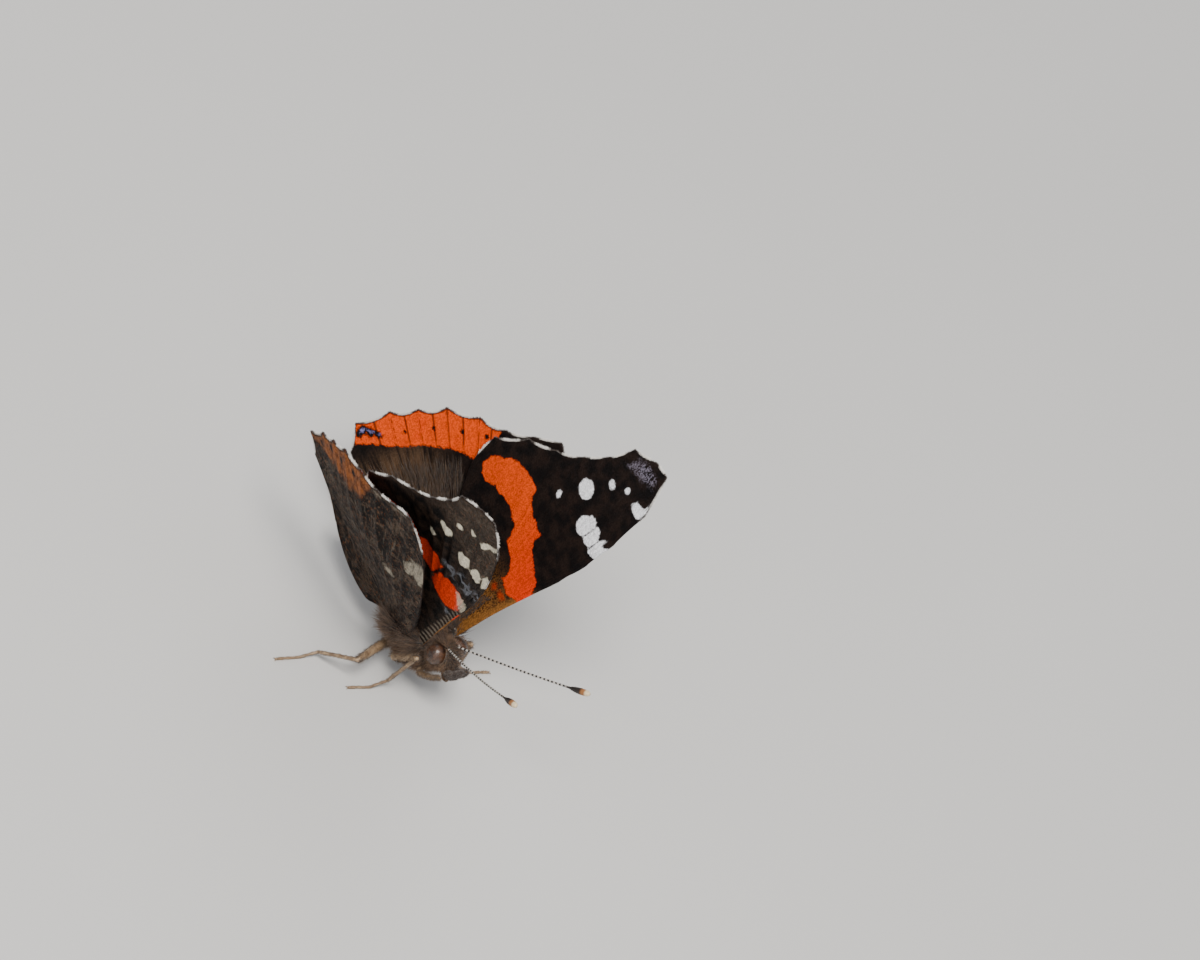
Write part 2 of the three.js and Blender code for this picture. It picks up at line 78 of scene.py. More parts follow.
HEAD_REAR = 1.75  # from the back of the head's solid to the wing hinges, along the body
FLOOR_GAP = 0.000003  # metres that the lowest points stay clear of the floor
MIX_SHARE = 0  # the sockets of a Mix node that blends colours
MIX_FIRST = 6
MIX_SECOND = 7
MIX_RESULT = 2
NOTHING = 1e-9  # guards a division
MAP_SPAN = 60  # millimetres of a wing that the map OFBake takes
FAR_AWAY = 1000.0  # more millimetres than any gap on a wing
MOST_POINTS = 10_000  # more than a ball has
ROOT_BODY = "root"
LOG = logging.getLogger("red_admiral")

Place = tuple[float, float, float]
Flat = tuple[float, float]
Colour = tuple[float, float, float]
Array = np.ndarray
Mesh = bpy.types.Mesh
Material = bpy.types.Material
Node = bpy.types.Node
Socket = bpy.types.NodeSocket
Tree = bpy.types.NodeTree
Value = Socket | float | Colour
BMesh = bmesh.types.BMesh
BMVert = bmesh.types.BMVert
Rings = dict[BMVert, float]
GroupParts = tuple[Tree, "Bench", Node, Node]


class Side(Enum):
    """The two sides of the animal, as the sign of the side coordinate."""

    LEFT = 1
    RIGHT = -1

    @property
    def word(self) -> str:
        """The word that ends a node's name."""
        return self.name.lower()


class Face(Enum):
    """The two faces of a wing, as material slots of its mesh."""

    UPPER = 0
    UNDER = 1


class Kind(Enum):
    """The kinds of socket that shared effects have."""

    NUMBER = "NodeSocketFloat"
    VECTOR = "NodeSocketVector"


@dataclass(frozen=True)
class Stance:
    """Where the insect stands in the frame."""

    shift: Place

    @classmethod
    def from_frame(cls) -> "Stance":
        """Reads the place from nodes whose own sizes are known.

        Returns:
            The stance, its shift in metres.
        """
        low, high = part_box("abdomen")
        middle = (low[0] + high[0]) / 2
        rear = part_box("head")[1][1]
        return cls((middle, rear + HEAD_REAR * MM, STAND_HEIGHT * MM))

    def point(self, ahead: float, side: float, up: float) -> Vector:
        """A point of the frame, in metres."""
        return Vector((side * MM, -ahead * MM, up * MM)) + Vector(self.shift)

    def rows(self, places: Array) -> Array:
        """Many points of the frame, in metres, from rows of (ahead, side, up)."""
        turned = np.column_stack([places[:, 1], -places[:, 0], places[:, 2]])
        return turned * MM + np.array(self.shift)


# Shader helpers


class Bench:
    """Adds nodes to one node tree, so that a finish reads as a few lines."""

    def __init__(self, tree: Tree) -> None:
        """Keeps the tree that the nodes go into."""
        self.tree = tree

    def node(self, kind: str, **settings: object) -> Node:
        """A new node with its settings.

        Args:
            kind: The type of the node.
            settings: Its properties by name.

        Returns:
            The node.
        """
        made = self.tree.nodes.new(kind)
        for key, value in settings.items():
            setattr(made, key, value)
        return made

    def link(self, source: Socket, target: Socket) -> None:
        """Joins two sockets."""
        self.tree.links.new(source, target)

    def feed(self, value: Value, target: Socket) -> None:
        """Links a socket, or sets a plain value.

        Args:
            value: A socket, a number or a colour.
            target: The socket that takes it.
        """
        if isinstance(value, Socket):
            self.link(value, target)
        elif isinstance(value, tuple) and len(value) == 3 and len(target.default_value) == 4:
            target.default_value = (*value, 1.0)
        else:
            target.default_value = value

    def attribute(self, name: str, vector: bool = False) -> Socket:
        """A value or a vector that the mesh carries."""
        made = self.node("ShaderNodeAttribute", attribute_name=name)
        return made.outputs["Vector" if vector else "Fac"]

    def fed(self, kind: str, *values: Value, **settings: str) -> Node:
        """A new node whose first sockets take values.

        Args:
            kind: The type of the node.
            values: Sockets, numbers or colours, in the order of the node's own sockets.
            settings: The node's properties by name.

        Returns:
            The node.
        """
        made = self.node(kind, **settings)
        for value, target in zip(values, made.inputs):
            self.feed(value, target)
        return made

    def math(self, operation: str, *values: Value) -> Socket:
        """The result of one sum."""
        return self.fed("ShaderNodeMath", *values, operation=operation).outputs[0]

    def ramp(self, value: Value, low: float, high: float, start: float = 0.0, end: float = 1.0) -> Socket:
        """A smooth step from start to end while the value goes from low to high, either way round."""
        made = self.fed("ShaderNodeMapRange", value, low, high, start, end, interpolation_type="SMOOTHSTEP")
        return made.outputs["Result"]

    def blend(self, share: Value, first: Value, second: Value) -> Socket:
        """A colour between two.

        Args:
            share: How much of the second.
            first: The colour at nothing.
            second: The colour at one.

        Returns:
            The colour.
        """
        made = self.node("ShaderNodeMix", data_type="RGBA", blend_type="MIX")
        self.feed(share, made.inputs[MIX_SHARE])
        self.feed(first, made.inputs[MIX_FIRST])
        self.feed(second, made.inputs[MIX_SECOND])
        return made.outputs[MIX_RESULT]

    def stretched(self, vector: Socket, stretch: Place) -> Socket:
        """A vector stretched along its axes.

        Args:
            vector: The vector.
            stretch: The factor for each axis.

        Returns:
            The stretched vector.
        """
        made = self.fed("ShaderNodeMapping", vector)
        made.inputs["Scale"].default_value = stretch
        return made.outputs[0]

    def noise(self, vector: Socket, scale: float, detail: float = 2.0,
              stretch: Place = (1.0, 1.0, 1.0), distortion: float = 0.0) -> Socket:
        """A soft noise of the given scale.

        Args:
            vector: Where it is read.
            scale: How fine it is.
            detail: How many finer layers it has.
            stretch: A factor for each axis.
            distortion: How much it is warped.

        Returns:
            The noise, about one half on average.
        """
        made = self.fed("ShaderNodeTexNoise", self.stretched(vector, stretch))
        made.inputs["Scale"].default_value = scale
        made.inputs["Detail"].default_value = detail
        made.inputs["Distortion"].default_value = distortion
        return made.outputs["Fac"]

    def cells(self, vector: Socket, scale: float, feature: str = "F1",
              stretch: Place = (1.0, 1.0, 1.0)) -> Node:
        """A cell texture of the given scale.

        Args:
            vector: Where it is read.
            scale: How fine it is.
            feature: What the texture measures.
            stretch: A factor for each axis.

        Returns:
            The texture node.
        """
        made = self.fed("ShaderNodeTexVoronoi", self.stretched(vector, stretch), feature=feature)
        made.inputs["Scale"].default_value = scale
        return made

    def place_in_mm(self) -> Socket:
        """The place on the piece, in millimetres of the frame."""
        return self.scaled(self.node("ShaderNodeTexCoord").outputs["Object"], 1 / MM)

    def parts(self, vector: Socket) -> bpy.types.NodeOutputs:
        """The three numbers of a vector."""
        return self.fed("ShaderNodeSeparateXYZ", vector).outputs

    def clamp(self, value: Socket) -> Socket:
        """A value held between nothing and one."""
        return self.fed("ShaderNodeClamp", value).outputs[0]

    def scaled(self, vector: Socket, factor: Value) -> Socket:
        """A place or a colour times a factor.

        Args:
            vector: The place or the colour.
            factor: The factor.

        Returns:
            The product.
        """
        made = self.fed("ShaderNodeVectorMath", vector, operation="SCALE")
        self.feed(factor, made.inputs["Scale"])
        return made.outputs[0]

    def bump(self, height: Socket, strength: float, distance: float) -> Socket:
        """A normal raised by a height.

        Args:
            height: The height.
            strength: How much of the relief shows.
            distance: How tall a height of one is, in metres.

        Returns:
            The normal.
        """
        made = self.node("ShaderNodeBump")
        made.inputs["Strength"].default_value = strength
        made.inputs["Distance"].default_value = distance
        self.link(height, made.inputs["Height"])
        return made.outputs["Normal"]

    def group(self, tree: Tree, **values: Value) -> Node:
        """Places a shared effect with its own values.

        Args:
            tree: The effect.
            values: Its inputs by name.

        Returns:
            The node of the effect.
        """
        made = self.node("ShaderNodeGroup")
        made.node_tree = tree
        for key, value in values.items():
            self.feed(value, made.inputs[key])
        return made


def new_group(name: str, inputs: dict[str, tuple[str, float | None]],
              outputs: dict[str, str]) -> GroupParts:
    """Starts a shared shader effect.

    Args:
        name: The name of the effect.
        inputs: Socket name to (socket kind, default).
        outputs: Socket name to socket kind.

    Returns:
        The tree, a bench for it, its input node and its output node.
    """
    tree = bpy.data.node_groups.new(name, "ShaderNodeTree")
    for key, (kind, default) in inputs.items():
        socket = tree.interface.new_socket(key, in_out="INPUT", socket_type=kind)
        if default is not None:
            socket.default_value = default
    for key, kind in outputs.items():
        tree.interface.new_socket(key, in_out="OUTPUT", socket_type=kind)
    bench = Bench(tree)
    return tree, bench, bench.node("NodeGroupInput"), bench.node("NodeGroupOutput")


@dataclass(frozen=True)
class Effects:
    """The shader effects that several finishes share."""

    ragged: Tree
    scales: Tree

    @classmethod
    def build(cls) -> "Effects":
        """Makes both effects.

        Returns:
            The effects, ready to be placed in materials.
        """
        return cls(cls._ragged(), cls._scales())

    @staticmethod
    def _ragged() -> Tree:
        """A mask from a distance, its edge broken up as overlapping scales break it.

        Returns:
            The effect.
        """
        tree, bench, given, out = new_group(
            "ragged edge",
            {"Distance": (Kind.NUMBER.value, 0.0), "Place": (Kind.VECTOR.value, None),
             "Raggedness": (Kind.NUMBER.value, 0.25), "Softness": (Kind.NUMBER.value, 0.08)},
            {"Mask": Kind.NUMBER.value})
        fine = bench.noise(given.outputs["Place"], 5.5, 3.0)
        coarse = bench.noise(given.outputs["Place"], 1.3, 1.0)
        both = bench.math("ADD", bench.math("SUBTRACT", fine, 0.5), bench.math("SUBTRACT", coarse, 0.5))
        moved = bench.math("MULTIPLY_ADD", both, given.outputs["Raggedness"], given.outputs["Distance"])
        share = bench.math("DIVIDE", moved, given.outputs["Softness"])
        mask = bench.ramp(share, -1.0, 1.0, 1.0, 0.0)
        bench.link(mask, out.inputs["Mask"])
        return tree

    @staticmethod
    def _scales() -> Tree:
        """The rows of tiny overlapping scales: a tint and a height.

        Returns:
            The effect.
        """
        tree, bench, given, out = new_group(
            "scale rows", {"Place": (Kind.VECTOR.value, None)},
            {"Tint": Kind.NUMBER.value, "Height": Kind.NUMBER.value})
        cells = bench.cells(given.outputs["Place"], 7.5, stretch=(1.5, 1.0, 1.0))
        tone = bench.node("ShaderNodeSeparateColor")
        bench.link(cells.outputs["Color"], tone.inputs[0])
        cloud = bench.noise(given.outputs["Place"], 2.2, 3.0)
        tint = bench.math("ADD", bench.math("MULTIPLY", tone.outputs[0], 0.55),
                          bench.math("MULTIPLY", cloud, 0.45))
        bench.link(tint, out.inputs["Tint"])
        bench.link(bench.math("SUBTRACT", 1.0, cells.outputs["Distance"]), out.inputs["Height"])
        return tree


def new_material(name: str, roughness: float, **principled: float) -> tuple[Material, Bench, Node]:
    """A material with a plain Principled shader.

    Args:
        name: The name of the finish.
        roughness: The roughness where nothing is linked.
        principled: Other sockets of the shader by name, spaces as underscores.

    Returns:
        The material, a bench for its nodes and its shader node.
    """
    material = bpy.data.materials.new(name)
    material.use_nodes = True
    shader = material.node_tree.nodes["Principled BSDF"]
    shader.inputs["Roughness"].default_value = roughness
    for key, value in principled.items():
        shader.inputs[key.replace("_", " ")].default_value = value
    return material, Bench(material.node_tree), shader


# Mesh helpers


def set_values(mesh: Mesh, name: str, values: Array) -> None:
    """Stores one number, or one vector, for each point of a mesh.

    Args:
        mesh: The mesh that carries them.
        name: The name that the materials read.
        values: One row for each point.
    """
    vector = values.ndim == 2
    layer = mesh.attributes.new(name, "FLOAT_VECTOR" if vector else "FLOAT", "POINT")
    layer.data.foreach_set("vector" if vector else "value", values.astype(np.float32).ravel())


def unit(rows: Array) -> Array:
    """Rows of vectors, each brought to length one."""
    return rows / np.maximum(np.linalg.norm(rows, axis=-1, keepdims=True), 1e-12)


def add_piece(name: str, mesh: Mesh, finishes: Sequence[Material], slot: str,
              nodes: Sequence[str] = ()) -> bpy.types.Object:
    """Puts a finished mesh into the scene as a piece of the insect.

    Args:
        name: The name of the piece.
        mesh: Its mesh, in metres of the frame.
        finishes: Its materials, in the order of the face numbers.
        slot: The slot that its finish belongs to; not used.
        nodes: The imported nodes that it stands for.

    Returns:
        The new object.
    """
    for finish in finishes:
        mesh.materials.append(finish)
    mesh.shade_smooth()
    piece = bpy.data.objects.new(name, mesh)
    bpy.context.scene.collection.objects.link(piece)
    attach(piece, ROOT_BODY)
    if nodes:
        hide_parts(*nodes)
    LOG.info("%s: %d points, %d faces", name, len(mesh.vertices), len(mesh.polygons))
    return piece


def mesh_from(build: BMesh, name: str) -> Mesh:
    """Ends a bmesh, its faces pointing outwards.

    Args:
        build: The finished bmesh, which is freed.
        name: The name of the mesh.

    Returns:
        The mesh.
    """
    bmesh.ops.recalc_face_normals(build, faces=build.faces)
    mesh = bpy.data.meshes.new(name)
    build.to_mesh(mesh)
    build.free()
    return mesh


def in_metres(sizes: Sequence[float]) -> tuple[float, ...]:
    """Sizes in millimetres as metres."""
    return tuple(value * MM for value in sizes)


def smooth_path(points: Sequence[Vector], count: int) -> list[Vector]:
    """Points spread along a smooth curve through the given ones.

    Args:
        points: The places that the curve passes.
        count: How many points come back.

    Returns:
        The points of the curve.
    """
    ends = [points[0] * 2 - points[1], *points, points[-1] * 2 - points[-2]]
    spans = len(points) - 1
    path = []
    for step in range(count):
        place = min(step / (count - 1) * spans, spans - 1e-6)
        first, t = int(place), place - int(place)
        a, b, c, d = ends[first:first + 4]
        path.append(0.5 * (2 * b + (c - a) * t + (2 * a - 5 * b + 4 * c - d) * t * t
                           + (3 * b - a - 3 * c + d) * t * t * t))
    return path


class Sweep:
    """Draws a round profile along a path, closed at both ends."""

    def __init__(self, build: BMesh, sides: int) -> None:
        """Keeps the bmesh that the tubes go into, and the profile.

        Args:
            build: The bmesh that the tubes go into.
            sides: How many sides the profile has.
        """
        self.build = build
        self.sides = sides
        self.along = build.verts.layers.float.get("along") or build.verts.layers.float.new("along")

    def draw(self, points: Sequence[Vector], radii: Sequence[float]) -> None:
        """Adds one tube.

        Args:
            points: Its middle line.
            radii: Its radius at each point.
        """
        last = len(points) - 1
        axes = [(points[min(i + 1, last)] - points[max(i - 1, 0)]).normalized() for i in range(last + 1)]
        guide = Vector((0, 1, 0)) if abs(axes[0].z) > 0.9 else Vector((0, 0, 1))
        across = guide.cross(axes[0]).normalized()
        ring = bmesh.ops.create_circle(self.build, segments=self.sides, radius=1.0)["verts"]
        angles = {vert: math.atan2(vert.co.y, vert.co.x) for vert in ring}
        first = self._loop(ring)
        travelled = 0.0
        for i, (point, axis) in enumerate(zip(points, axes)):
            if i:
                travelled += (point - points[i - 1]).length
                ring, angles = self._extrude(ring, angles)
            across = (across - axis * across.dot(axis)).normalized()
            over = axis.cross(across)
            for vert in ring:
                turn = angles[vert]
                offset = across * math.cos(turn) + over * math.sin(turn)
                vert.co = point + offset * radii[i]
                vert[self.along] = travelled / MM
        bmesh.ops.holes_fill(self.build, edges=[*first, *self._loop(ring)], sides=0)

    def _loop(self, ring: Sequence[BMVert]) -> list[bmesh.types.BMEdge]:
        """The edges between the points of a ring, in the same order in every run.

        Args:
            ring: The points.

        Returns:
            The edges, each one once.
        """
        inside = set(ring)
        edges = [edge for vert in ring for edge in vert.link_edges if edge.other_vert(vert) in inside]
        return list(dict.fromkeys(edges))

    def _extrude(self, ring: Sequence[BMVert], angles: Rings) -> tuple[list, Rings]:
        """Grows the next ring out of the last one.

        Args:
            ring: The last ring.
            angles: The place of each of its points round the profile.

        Returns:
            The new ring and the same for its points.
        """
        grown = bmesh.ops.extrude_edge_only(self.build, edges=self._loop(ring))["geom"]
        fresh = {item for item in grown if isinstance(item, BMVert)}
        turned = {}
        for vert in ring:
            for edge in vert.link_edges:
                other = edge.other_vert(vert)
                if other in fresh:
                    turned[other] = angles[vert]
        return list(turned), turned


def ball(build: BMesh, centre: Vector, size: Place, rings: int) -> list[BMVert]:
    """Adds a rounded form.

    Args:
        build: The bmesh that it goes into.
        centre: Its middle.
        size: Its radii across, along and up, in metres.
        rings: How finely it is divided.

    Returns:
        Its points.
    """
    place = Matrix.Translation(centre) @ Matrix.Diagonal((*size, 1.0))
    return bmesh.ops.create_uvsphere(
        build, u_segments=rings * 2, v_segments=rings, radius=1.0, matrix=place)["verts"]


def face_order(face: bmesh.types.BMFace) -> float:
    """The place of a face in a fixed order, because a new ball has its faces in a varying one.

    Args:
        face: A face of a bmesh whose points are numbered.

    Returns:
        A number that differs from face to face.
    """
    low, second, third = sorted(vert.index for vert in face.verts)[:3]
    return (low * MOST_POINTS + second) * MOST_POINTS + third


@dataclass
class Pair:
    """One of a left and a right part."""

    side: Side
    stance: Stance

    def point(self, ahead: float, side: float, up: float) -> Vector:
        """A point of the frame on the part's own side."""
        return self.stance.point(ahead, side * self.side.value, up)

    def named(self, stem: str) -> str:
        """A name that ends in the word of the side."""
        return f"{stem}_{self.side.word}"


# Hairs, bristles and fringes


@dataclass
class Strands:
    """Many thin hairs, each with its own place, lie and colour."""

    roots: Array
    directions: Array
    lengths: Array
    widths: Array
    tones: Array
    places: Array
    droop: Array = field(default_factory=lambda: np.zeros((1, 3)))

    PATCH = 0.003  # size of one hair on the map OFBake
    SIDES = 3
    TIP = 0.08  # thickness of the tip against the root
    BELLY = 1.35  # how much the middle is thicker than a straight cone's

    def kept(self, keep: Array) -> "Strands":
        """Only the hairs that are asked for.

        Args:
            keep: True for each hair that stays.

        Returns:
            Those hairs.
        """
        droop = (self.droop * np.ones((len(self.roots), 1)))[keep]
        return Strands(self.roots[keep], self.directions[keep], self.lengths[keep], self.widths[keep],
                       self.tones[keep], self.places[keep], droop)

    @staticmethod
    def template() -> tuple[Array, Array]:
        """One hair, of length and root radius one along +Z, a cone with a ring in its middle.

        Returns:
            Its points, and its faces as rows of four corners, the last one -1 for a triangle.
        """
        build = bmesh.new()
        bmesh.ops.create_cone(build, cap_ends=True, segments=Strands.SIDES, radius1=1.0,
                              radius2=Strands.TIP, depth=1.0, matrix=Matrix.Translation((0, 0, 0.5)))
        tall = [edge for edge in build.edges if abs(edge.verts[0].co.z - edge.verts[1].co.z) > 0.5]
        bmesh.ops.subdivide_edges(build, edges=tall, cuts=1)
        bmesh.ops.recalc_face_normals(build, faces=build.faces)
        build.verts.index_update()
        points = np.array([vert.co[:] for vert in build.verts])
        faces = [[vert.index for vert in face.verts] for face in build.faces]
        build.free()
        middle = np.abs(points[:, 2] - 0.5) < 0.01
        points[middle, :2] *= Strands.BELLY
        return points, np.array([face if len(face) == 4 else [*face, -1] for face in faces])

    def mesh(self, name: str) -> Mesh:
        """Copies the hair to every root.

        Args:
            name: The name of the mesh.

        Returns:
            The mesh, with the values along and tone and the map OFBake.
        """
        shape, corners = self.template()
        count, size = len(self.roots), len(shape)
        axis = unit(self.directions)
        guide = np.where(np.abs(axis[:, 2:]) > 0.9, [[1.0, 0, 0]], [[0, 0, 1.0]])
        across = unit(np.cross(axis, guide))
        over = np.cross(axis, across)
        height = shape[None, :, 2:]
        spread = (across[:, None] * shape[None, :, :1] + over[:, None] * shape[None, :, 1:2])
        points = (self.roots[:, None] + axis[:, None] * height * self.lengths[:, None, None]
                  + spread * self.widths[:, None, None]
                  + (self.droop * np.ones((count, 1)))[:, None] * height ** 2)
        points[:, :, 2] = np.maximum(points[:, :, 2], FLOOR_GAP)
        faces = []
        for start in range(0, count * size, size):
            for face in corners.tolist():
                faces.append([corner + start for corner in face if corner >= 0])
        mesh = bpy.data.meshes.new(name)
        mesh.from_pydata(points.reshape(-1, 3).tolist(), [], faces)
        set_values(mesh, "along", np.tile(shape[:, 2], count))
        set_values(mesh, "tone", np.repeat(self.tones, size))
        patch = np.column_stack([shape[:, 0] * 0.5 + shape[:, 1] * 0.2, shape[:, 2]]) * self.PATCH
        flat = (self.places[:, None] + patch[None]).reshape(-1, 2)
        order = np.empty(len(mesh.loops), dtype=np.int32)
        mesh.loops.foreach_get("vertex_index", order)
        layer = mesh.uv_layers.new(name="OFBake")
        layer.data.foreach_set("uv", flat[order].astype(np.float32).ravel())
        return mesh


@dataclass
class Surface:
    """Places spread over a mesh at random, by area."""

    points: Array
    normals: Array

    @classmethod
    def scatter(cls, mesh: Mesh, count: int, seed: int) -> "Surface":
        """Spreads places over the faces of a mesh.

        Args:
            mesh: The mesh.
            count: How many places.
            seed: The start of the random draws.

        Returns:
            The places with the directions that the surface faces there.
        """
        draw = np.random.default_rng(seed)
        mesh.calc_loop_triangles()
        corners = np.empty(len(mesh.loop_triangles) * 3, dtype=np.int32)
        mesh.loop_triangles.foreach_get("vertices", corners)
        spots = np.empty(len(mesh.vertices) * 3)
        mesh.vertices.foreach_get("co", spots)
        a, b, c = spots.reshape(-1, 3)[corners.reshape(-1, 3)].transpose(1, 0, 2)
        facing = np.cross(b - a, c - a)
        area = np.linalg.norm(facing, axis=1)
        chosen = draw.choice(len(area), count, p=area / area.sum())
        first, second = draw.random(count), draw.random(count)
        fold = first + second > 1
        first[fold] = 1 - first[fold]
        second[fold] = 1 - second[fold]
        points = a[chosen] + (b - a)[chosen] * first[:, None] + (c - a)[chosen] * second[:, None]
        return cls(points, unit(facing)[chosen])

    def kept(self, keep: Array) -> "Surface":
        """Only the places that are asked for."""
        return Surface(self.points[keep], self.normals[keep])


# Finishes


@dataclass(frozen=True)
class HairFinish:
    """Hairs that vary between two colours and pale toward their tips."""

    name: str
    dark: Colour
    light: Colour
    tip: float = 1.4
    roughness: float = 0.55

    def build(self) -> Material:
        """Makes the material.

        Returns:
            The material.
        """
        material, bench, shader = new_material(self.name, self.roughness, Sheen_Weight=0.12)
        along, tone = bench.attribute("along"), bench.attribute("tone")
        place = bench.place_in_mm()
        streaks = bench.noise(place, 2.5, 2.0)
        share = bench.math("ADD", tone, bench.ramp(streaks, 0.3, 0.7, -0.15, 0.15))
        colour = bench.blend(bench.clamp(share), self.dark, self.light)
        paler = bench.ramp(along, 0.1, 0.9, 0.75, self.tip)
        bench.link(bench.scaled(colour, paler), shader.inputs["Base Color"])
        bench.link(bench.ramp(along, 0.0, 1.0, self.roughness + 0.15, self.roughness - 0.1),
                   shader.inputs["Roughness"])
        bench.link(bench.bump(bench.noise(place, 14.0, 2.0), 0.3, 0.00002), shader.inputs["Normal"])
        return material


@dataclass(frozen=True)
class ShellFinish:
    """The bare outer skin of body, legs, palps and tongue."""

    name: str
    dark: Colour
    light: Colour
    roughness: float
    grain: float = 5.0
    relief: float = 0.00004

    def build(self) -> Material:
        """Makes the material.

        Returns:
            The material.
        """
        material, bench, shader = new_material(self.name, self.roughness)
        place = bench.place_in_mm()
        cloud = bench.noise(place, self.grain * 0.3, 3.0)
        fine = bench.noise(place, self.grain, 3.0, distortion=0.4)
        share = bench.ramp(bench.math("ADD", bench.math("MULTIPLY", cloud, 0.6),
                                      bench.math("MULTIPLY", fine, 0.4)), 0.36, 0.64)
        bench.link(bench.blend(share, self.dark, self.light), shader.inputs["Base Color"])
        bench.link(bench.ramp(fine, 0.3, 0.7, self.roughness - 0.12, self.roughness + 0.12),
                   shader.inputs["Roughness"])
        bench.link(bench.bump(fine, 0.6, self.relief), shader.inputs["Normal"])
        return material


@dataclass(frozen=True)
class EyeFinish:
    """The glossy brown compound eye, with its rows of facets."""

    deep: Colour = (0.035, 0.014, 0.006)
    warm: Colour = (0.16, 0.062, 0.022)
    facets: float = 16.0

    def build(self) -> Material:
        """Makes the material.

        Returns:
            The material.
        """
        material, bench, shader = new_material("eye_facets", 0.3, Coat_Weight=0.5, Coat_Roughness=0.12)
        place = bench.place_in_mm()
        facets = bench.cells(place, self.facets)
        cloud = bench.noise(place, 1.4, 2.0)
        rim = bench.math("SUBTRACT", 1.0, bench.math("MULTIPLY", facets.outputs["Distance"], 0.9))
        colour = bench.blend(bench.ramp(cloud, 0.35, 0.65), self.deep, self.warm)
        bench.link(bench.scaled(colour, rim), shader.inputs["Base Color"])
        bench.link(bench.ramp(facets.outputs["Distance"], 0.0, 0.7, 0.2, 0.45), shader.inputs["Roughness"])
        bench.link(bench.bump(rim, 0.5, 0.00003), shader.inputs["Normal"])
        return material


@dataclass(frozen=True)
class FeelerFinish:
    """The feeler: black with narrow white rings, and an orange to cream end of its club."""

    length: float
    ring_step: float = 0.45
    black: Colour = (0.012, 0.008, 0.006)
    white: Colour = (0.62, 0.58, 0.52)
    orange: Colour = (0.30, 0.12, 0.035)
    cream: Colour = (0.72, 0.58, 0.36)

    def build(self) -> Material:
        """Makes the material.

        Returns:
            The material.
        """
        material, bench, shader = new_material("feeler_rings", 0.5)
        along, place = bench.attribute("along"), bench.place_in_mm()
        wave = bench.math("FRACT", bench.math("DIVIDE", along, self.ring_step))
        broken = bench.math("MULTIPLY_ADD", bench.noise(place, 9.0, 2.0), 0.3, wave)
        rings = bench.math("MULTIPLY", bench.ramp(broken, 0.6, 0.7),
                           bench.ramp(along, self.length - 3.4, self.length - 2.2, 0.85, 0.0))
        colour = bench.blend(rings, self.black, self.white)
        colour = bench.blend(bench.ramp(along, self.length - 1.1, self.length - 0.75), colour, self.orange)
        colour = bench.blend(bench.ramp(along, self.length - 0.6, self.length - 0.35), colour, self.cream)
        bench.link(colour, shader.inputs["Base Color"])
        bench.link(bench.ramp(bench.noise(place, 6.0, 2.0), 0.3, 0.7, 0.4, 0.65), shader.inputs["Roughness"])
        bench.link(bench.bump(wave, 0.4, 0.00003), shader.inputs["Normal"])
        return material


# Markings of the wings, as outlines of (ahead, out) in the plane of the wing

Outline = Sequence[Flat]


def oval(ahead: float, out: float, half_ahead: float, half_out: float, corners: int = 14) -> Outline:
    """The outline of an oval spot.

    Args:
        ahead: Its middle.
        out: Its middle.
        half_ahead: Half its size ahead.
        half_out: Half its size outwards.
        corners: How many corners stand for it.

    Returns:
        The corners in order.
    """
    turns = [2 * math.pi * k / corners for k in range(corners)]
    return [(ahead + half_ahead * math.cos(turn), out + half_out * math.sin(turn)) for turn in turns]


def depth_inside(places: Array, outlines: Sequence[Outline]) -> Array:
    """How far places are from the edge of a set of outlines, negative inside.

    Args:
        places: Rows of (ahead, out).
        outlines: The outlines.

    Returns:
        The distance for each place, in millimetres.
    """
    best = np.full(len(places), FAR_AWAY)
    for outline in outlines:
        corners = np.array(outline, dtype=float)
        ends = np.roll(corners, -1, axis=0)
        span = ends - corners
        offset = places[:, None] - corners[None]
        share = np.clip((offset * span).sum(-1) / np.maximum((span ** 2).sum(-1), NOTHING), 0, 1)
        gap = np.linalg.norm(offset - share[..., None] * span, axis=-1).min(axis=1)
        above = corners[None, :, 1] > places[:, None, 1]
        crossing = above != (ends[None, :, 1] > places[:, None, 1])
        rise = np.where(np.abs(span[:, 1]) < NOTHING, NOTHING, span[:, 1])
        reach = span[:, 0] * offset[..., 1] / rise
        inside = (crossing & (offset[..., 0] < reach)).sum(axis=1) % 2 == 1
        best = np.minimum(best, np.where(inside, -gap, gap))
    return best


